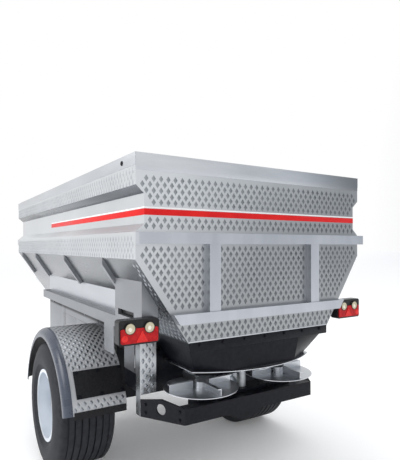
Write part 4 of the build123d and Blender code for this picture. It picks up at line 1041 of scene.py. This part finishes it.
# %% Box flange, foot strip and spray plates
FLANGE_HALF, FLANGE_FOOT, FLANGE_TOP = 0.548, 1.0740, 1.1290
FLANGE_TAPER, FLANGE_EDGE = 0.962, 0.0012
STRIP_FOOT, STRIP_TOP = 1.1292, 1.1362
STRIP_REACH = 0.556
PLATE_EDGE = 0.001
SPRAY_LOW, SPRAY_HIGH = (0.6030, ahead(0.562), 0.700), (0.6068, ahead(0.800), 0.850)
flange = slab((-FLANGE_HALF, rear_face - FLANGE_PROUD, FLANGE_FOOT), (FLANGE_HALF, rear_face, FLANGE_TOP),
              FLANGE_EDGE)
pick_faces(flange, lambda face: face.normal.z < -0.9)
bpy.ops.transform.resize(value=(FLANGE_TAPER, 1, 1))
close_edit()
settle(flange, "box_flange", "chassis", "dark_steel")
foot_strip = slab((-STRIP_REACH, rear_face - FLANGE_PROUD, STRIP_FOOT), (STRIP_REACH, rear_face, STRIP_TOP),
                  PLATE_EDGE)
settle(foot_strip, "foot_strip", "chassis", "plain_steel")
spray_plate = slab(SPRAY_LOW, SPRAY_HIGH, PLATE_EDGE)
settle_pair(spray_plate, "spray_plate_{}", "chassis", "dark_steel")

# %% [markdown]
# ## Front panels
# Ahead of the wheels plain sheets go on from the lower panels and close the side under the slope. One
# sheet could be cut to shape, but the outrigger has to pass, so four thin blocks stand edge to edge and
# leave a slit for it.

# %% Front panels
# (start, end, foot, top), with start and end ahead of the rear face
PANEL_SHEETS = ((1.680, 1.950, 0.880, 0.999), (1.950, 2.343, 0.720, 0.999), (2.357, 2.481, 0.720, 0.999),
                (2.481, 2.970, 0.720, 1.204))
PANEL_INSIDE, PANEL_OUTSIDE = 0.6070, 0.6100
panel_sheets = []
for start, end, foot, top in PANEL_SHEETS:
    low, high = (PANEL_INSIDE, ahead(start), foot), (PANEL_OUTSIDE, ahead(end), top)
    panel_sheets.append(slab(low, high, PLATE_EDGE))
# These sheets take the lower panels' finish, with its painted shadow of the rail high up.
settle_pair(joined(panel_sheets), "front_panel_{}", "chassis", "plain_steel", panel_sheet)

# %% [markdown]
# ## Grommets
# A rubber grommet near each upper rear corner lines a hole in the rim. A hole could be cut through the
# band, but at this size a turned ring with a dark cup looks the same.

# %% Grommets
GROMMET_PROFILE = ((-0.001, 0.0005), (0.001, 0.0005), (0.001, 0.0075), (0.0045, 0.0095), (0.0045, 0.0125),
                   (-0.001, 0.0145))
GROMMET_PLACE = (HOPPER_HALF + BAND_PROUD, ahead(0.18), 2.130)
grommet = turned(GROMMET_PROFILE, GROMMET_PLACE, ACROSS, UP, SMALL_STEPS)
settle_pair(grommet, "grommet_{}", "chassis", "rubber")

# %% [markdown]
# ## Jack grip
# The jack's crank ends in a thin bar, and a hand needs a thicker grip on it. A plain tube would do, but
# the turned sleeve has a collar at each end, which keeps the hand from slipping off.

# %% Jack grip
GRIP_PROFILE = ((-0.040, 0.0084), (-0.040, 0.0150), (-0.033, 0.0155), (-0.030, 0.0125), (0.030, 0.0125),
                (0.033, 0.0155), (0.040, 0.0150), (0.040, 0.0084))
GRIP_MIDDLE = (0.240, ahead(3.760), 1.257)
grip = turned(GRIP_PROFILE, GRIP_MIDDLE, ACROSS, UP, SMALL_STEPS)
settle(grip, "jack_grip", "chassis", "black_plastic")

# %% [markdown]
# ## Slot liners
# The slot in each rear column is darkened with painted shade. A dark finish on the column couldn't reach the
# slot alone, so a dark plate with an inset, sunken middle lies on the slot's floor.

# %% Slot shade plates
LINER_LOW, LINER_HIGH = (0.7600, ahead(0.222), 1.2555), (0.7680, ahead(0.458), 1.2885)
LINER_EDGE, LINER_INSET, LINER_SINK = 0.002, 0.005, 0.004
# The plate's dark finish is painted shade in the slot.
liner = slab(LINER_LOW, LINER_HIGH, LINER_EDGE)
pick_faces(liner, lambda face: face.normal.x > 0.9)
bpy.ops.mesh.inset(thickness=LINER_INSET)
bpy.ops.mesh.extrude_region_move(TRANSFORM_OT_translate={"value": (-LINER_SINK, 0, 0)})
close_edit()
settle_pair(liner, "slot_shade_plate_{}", "chassis", "black_plastic")

# %% [markdown]
# ## Hand over
# The view layer is updated, so that every piece's place is current.

# %% Update the view layer
bpy.context.view_layer.update()
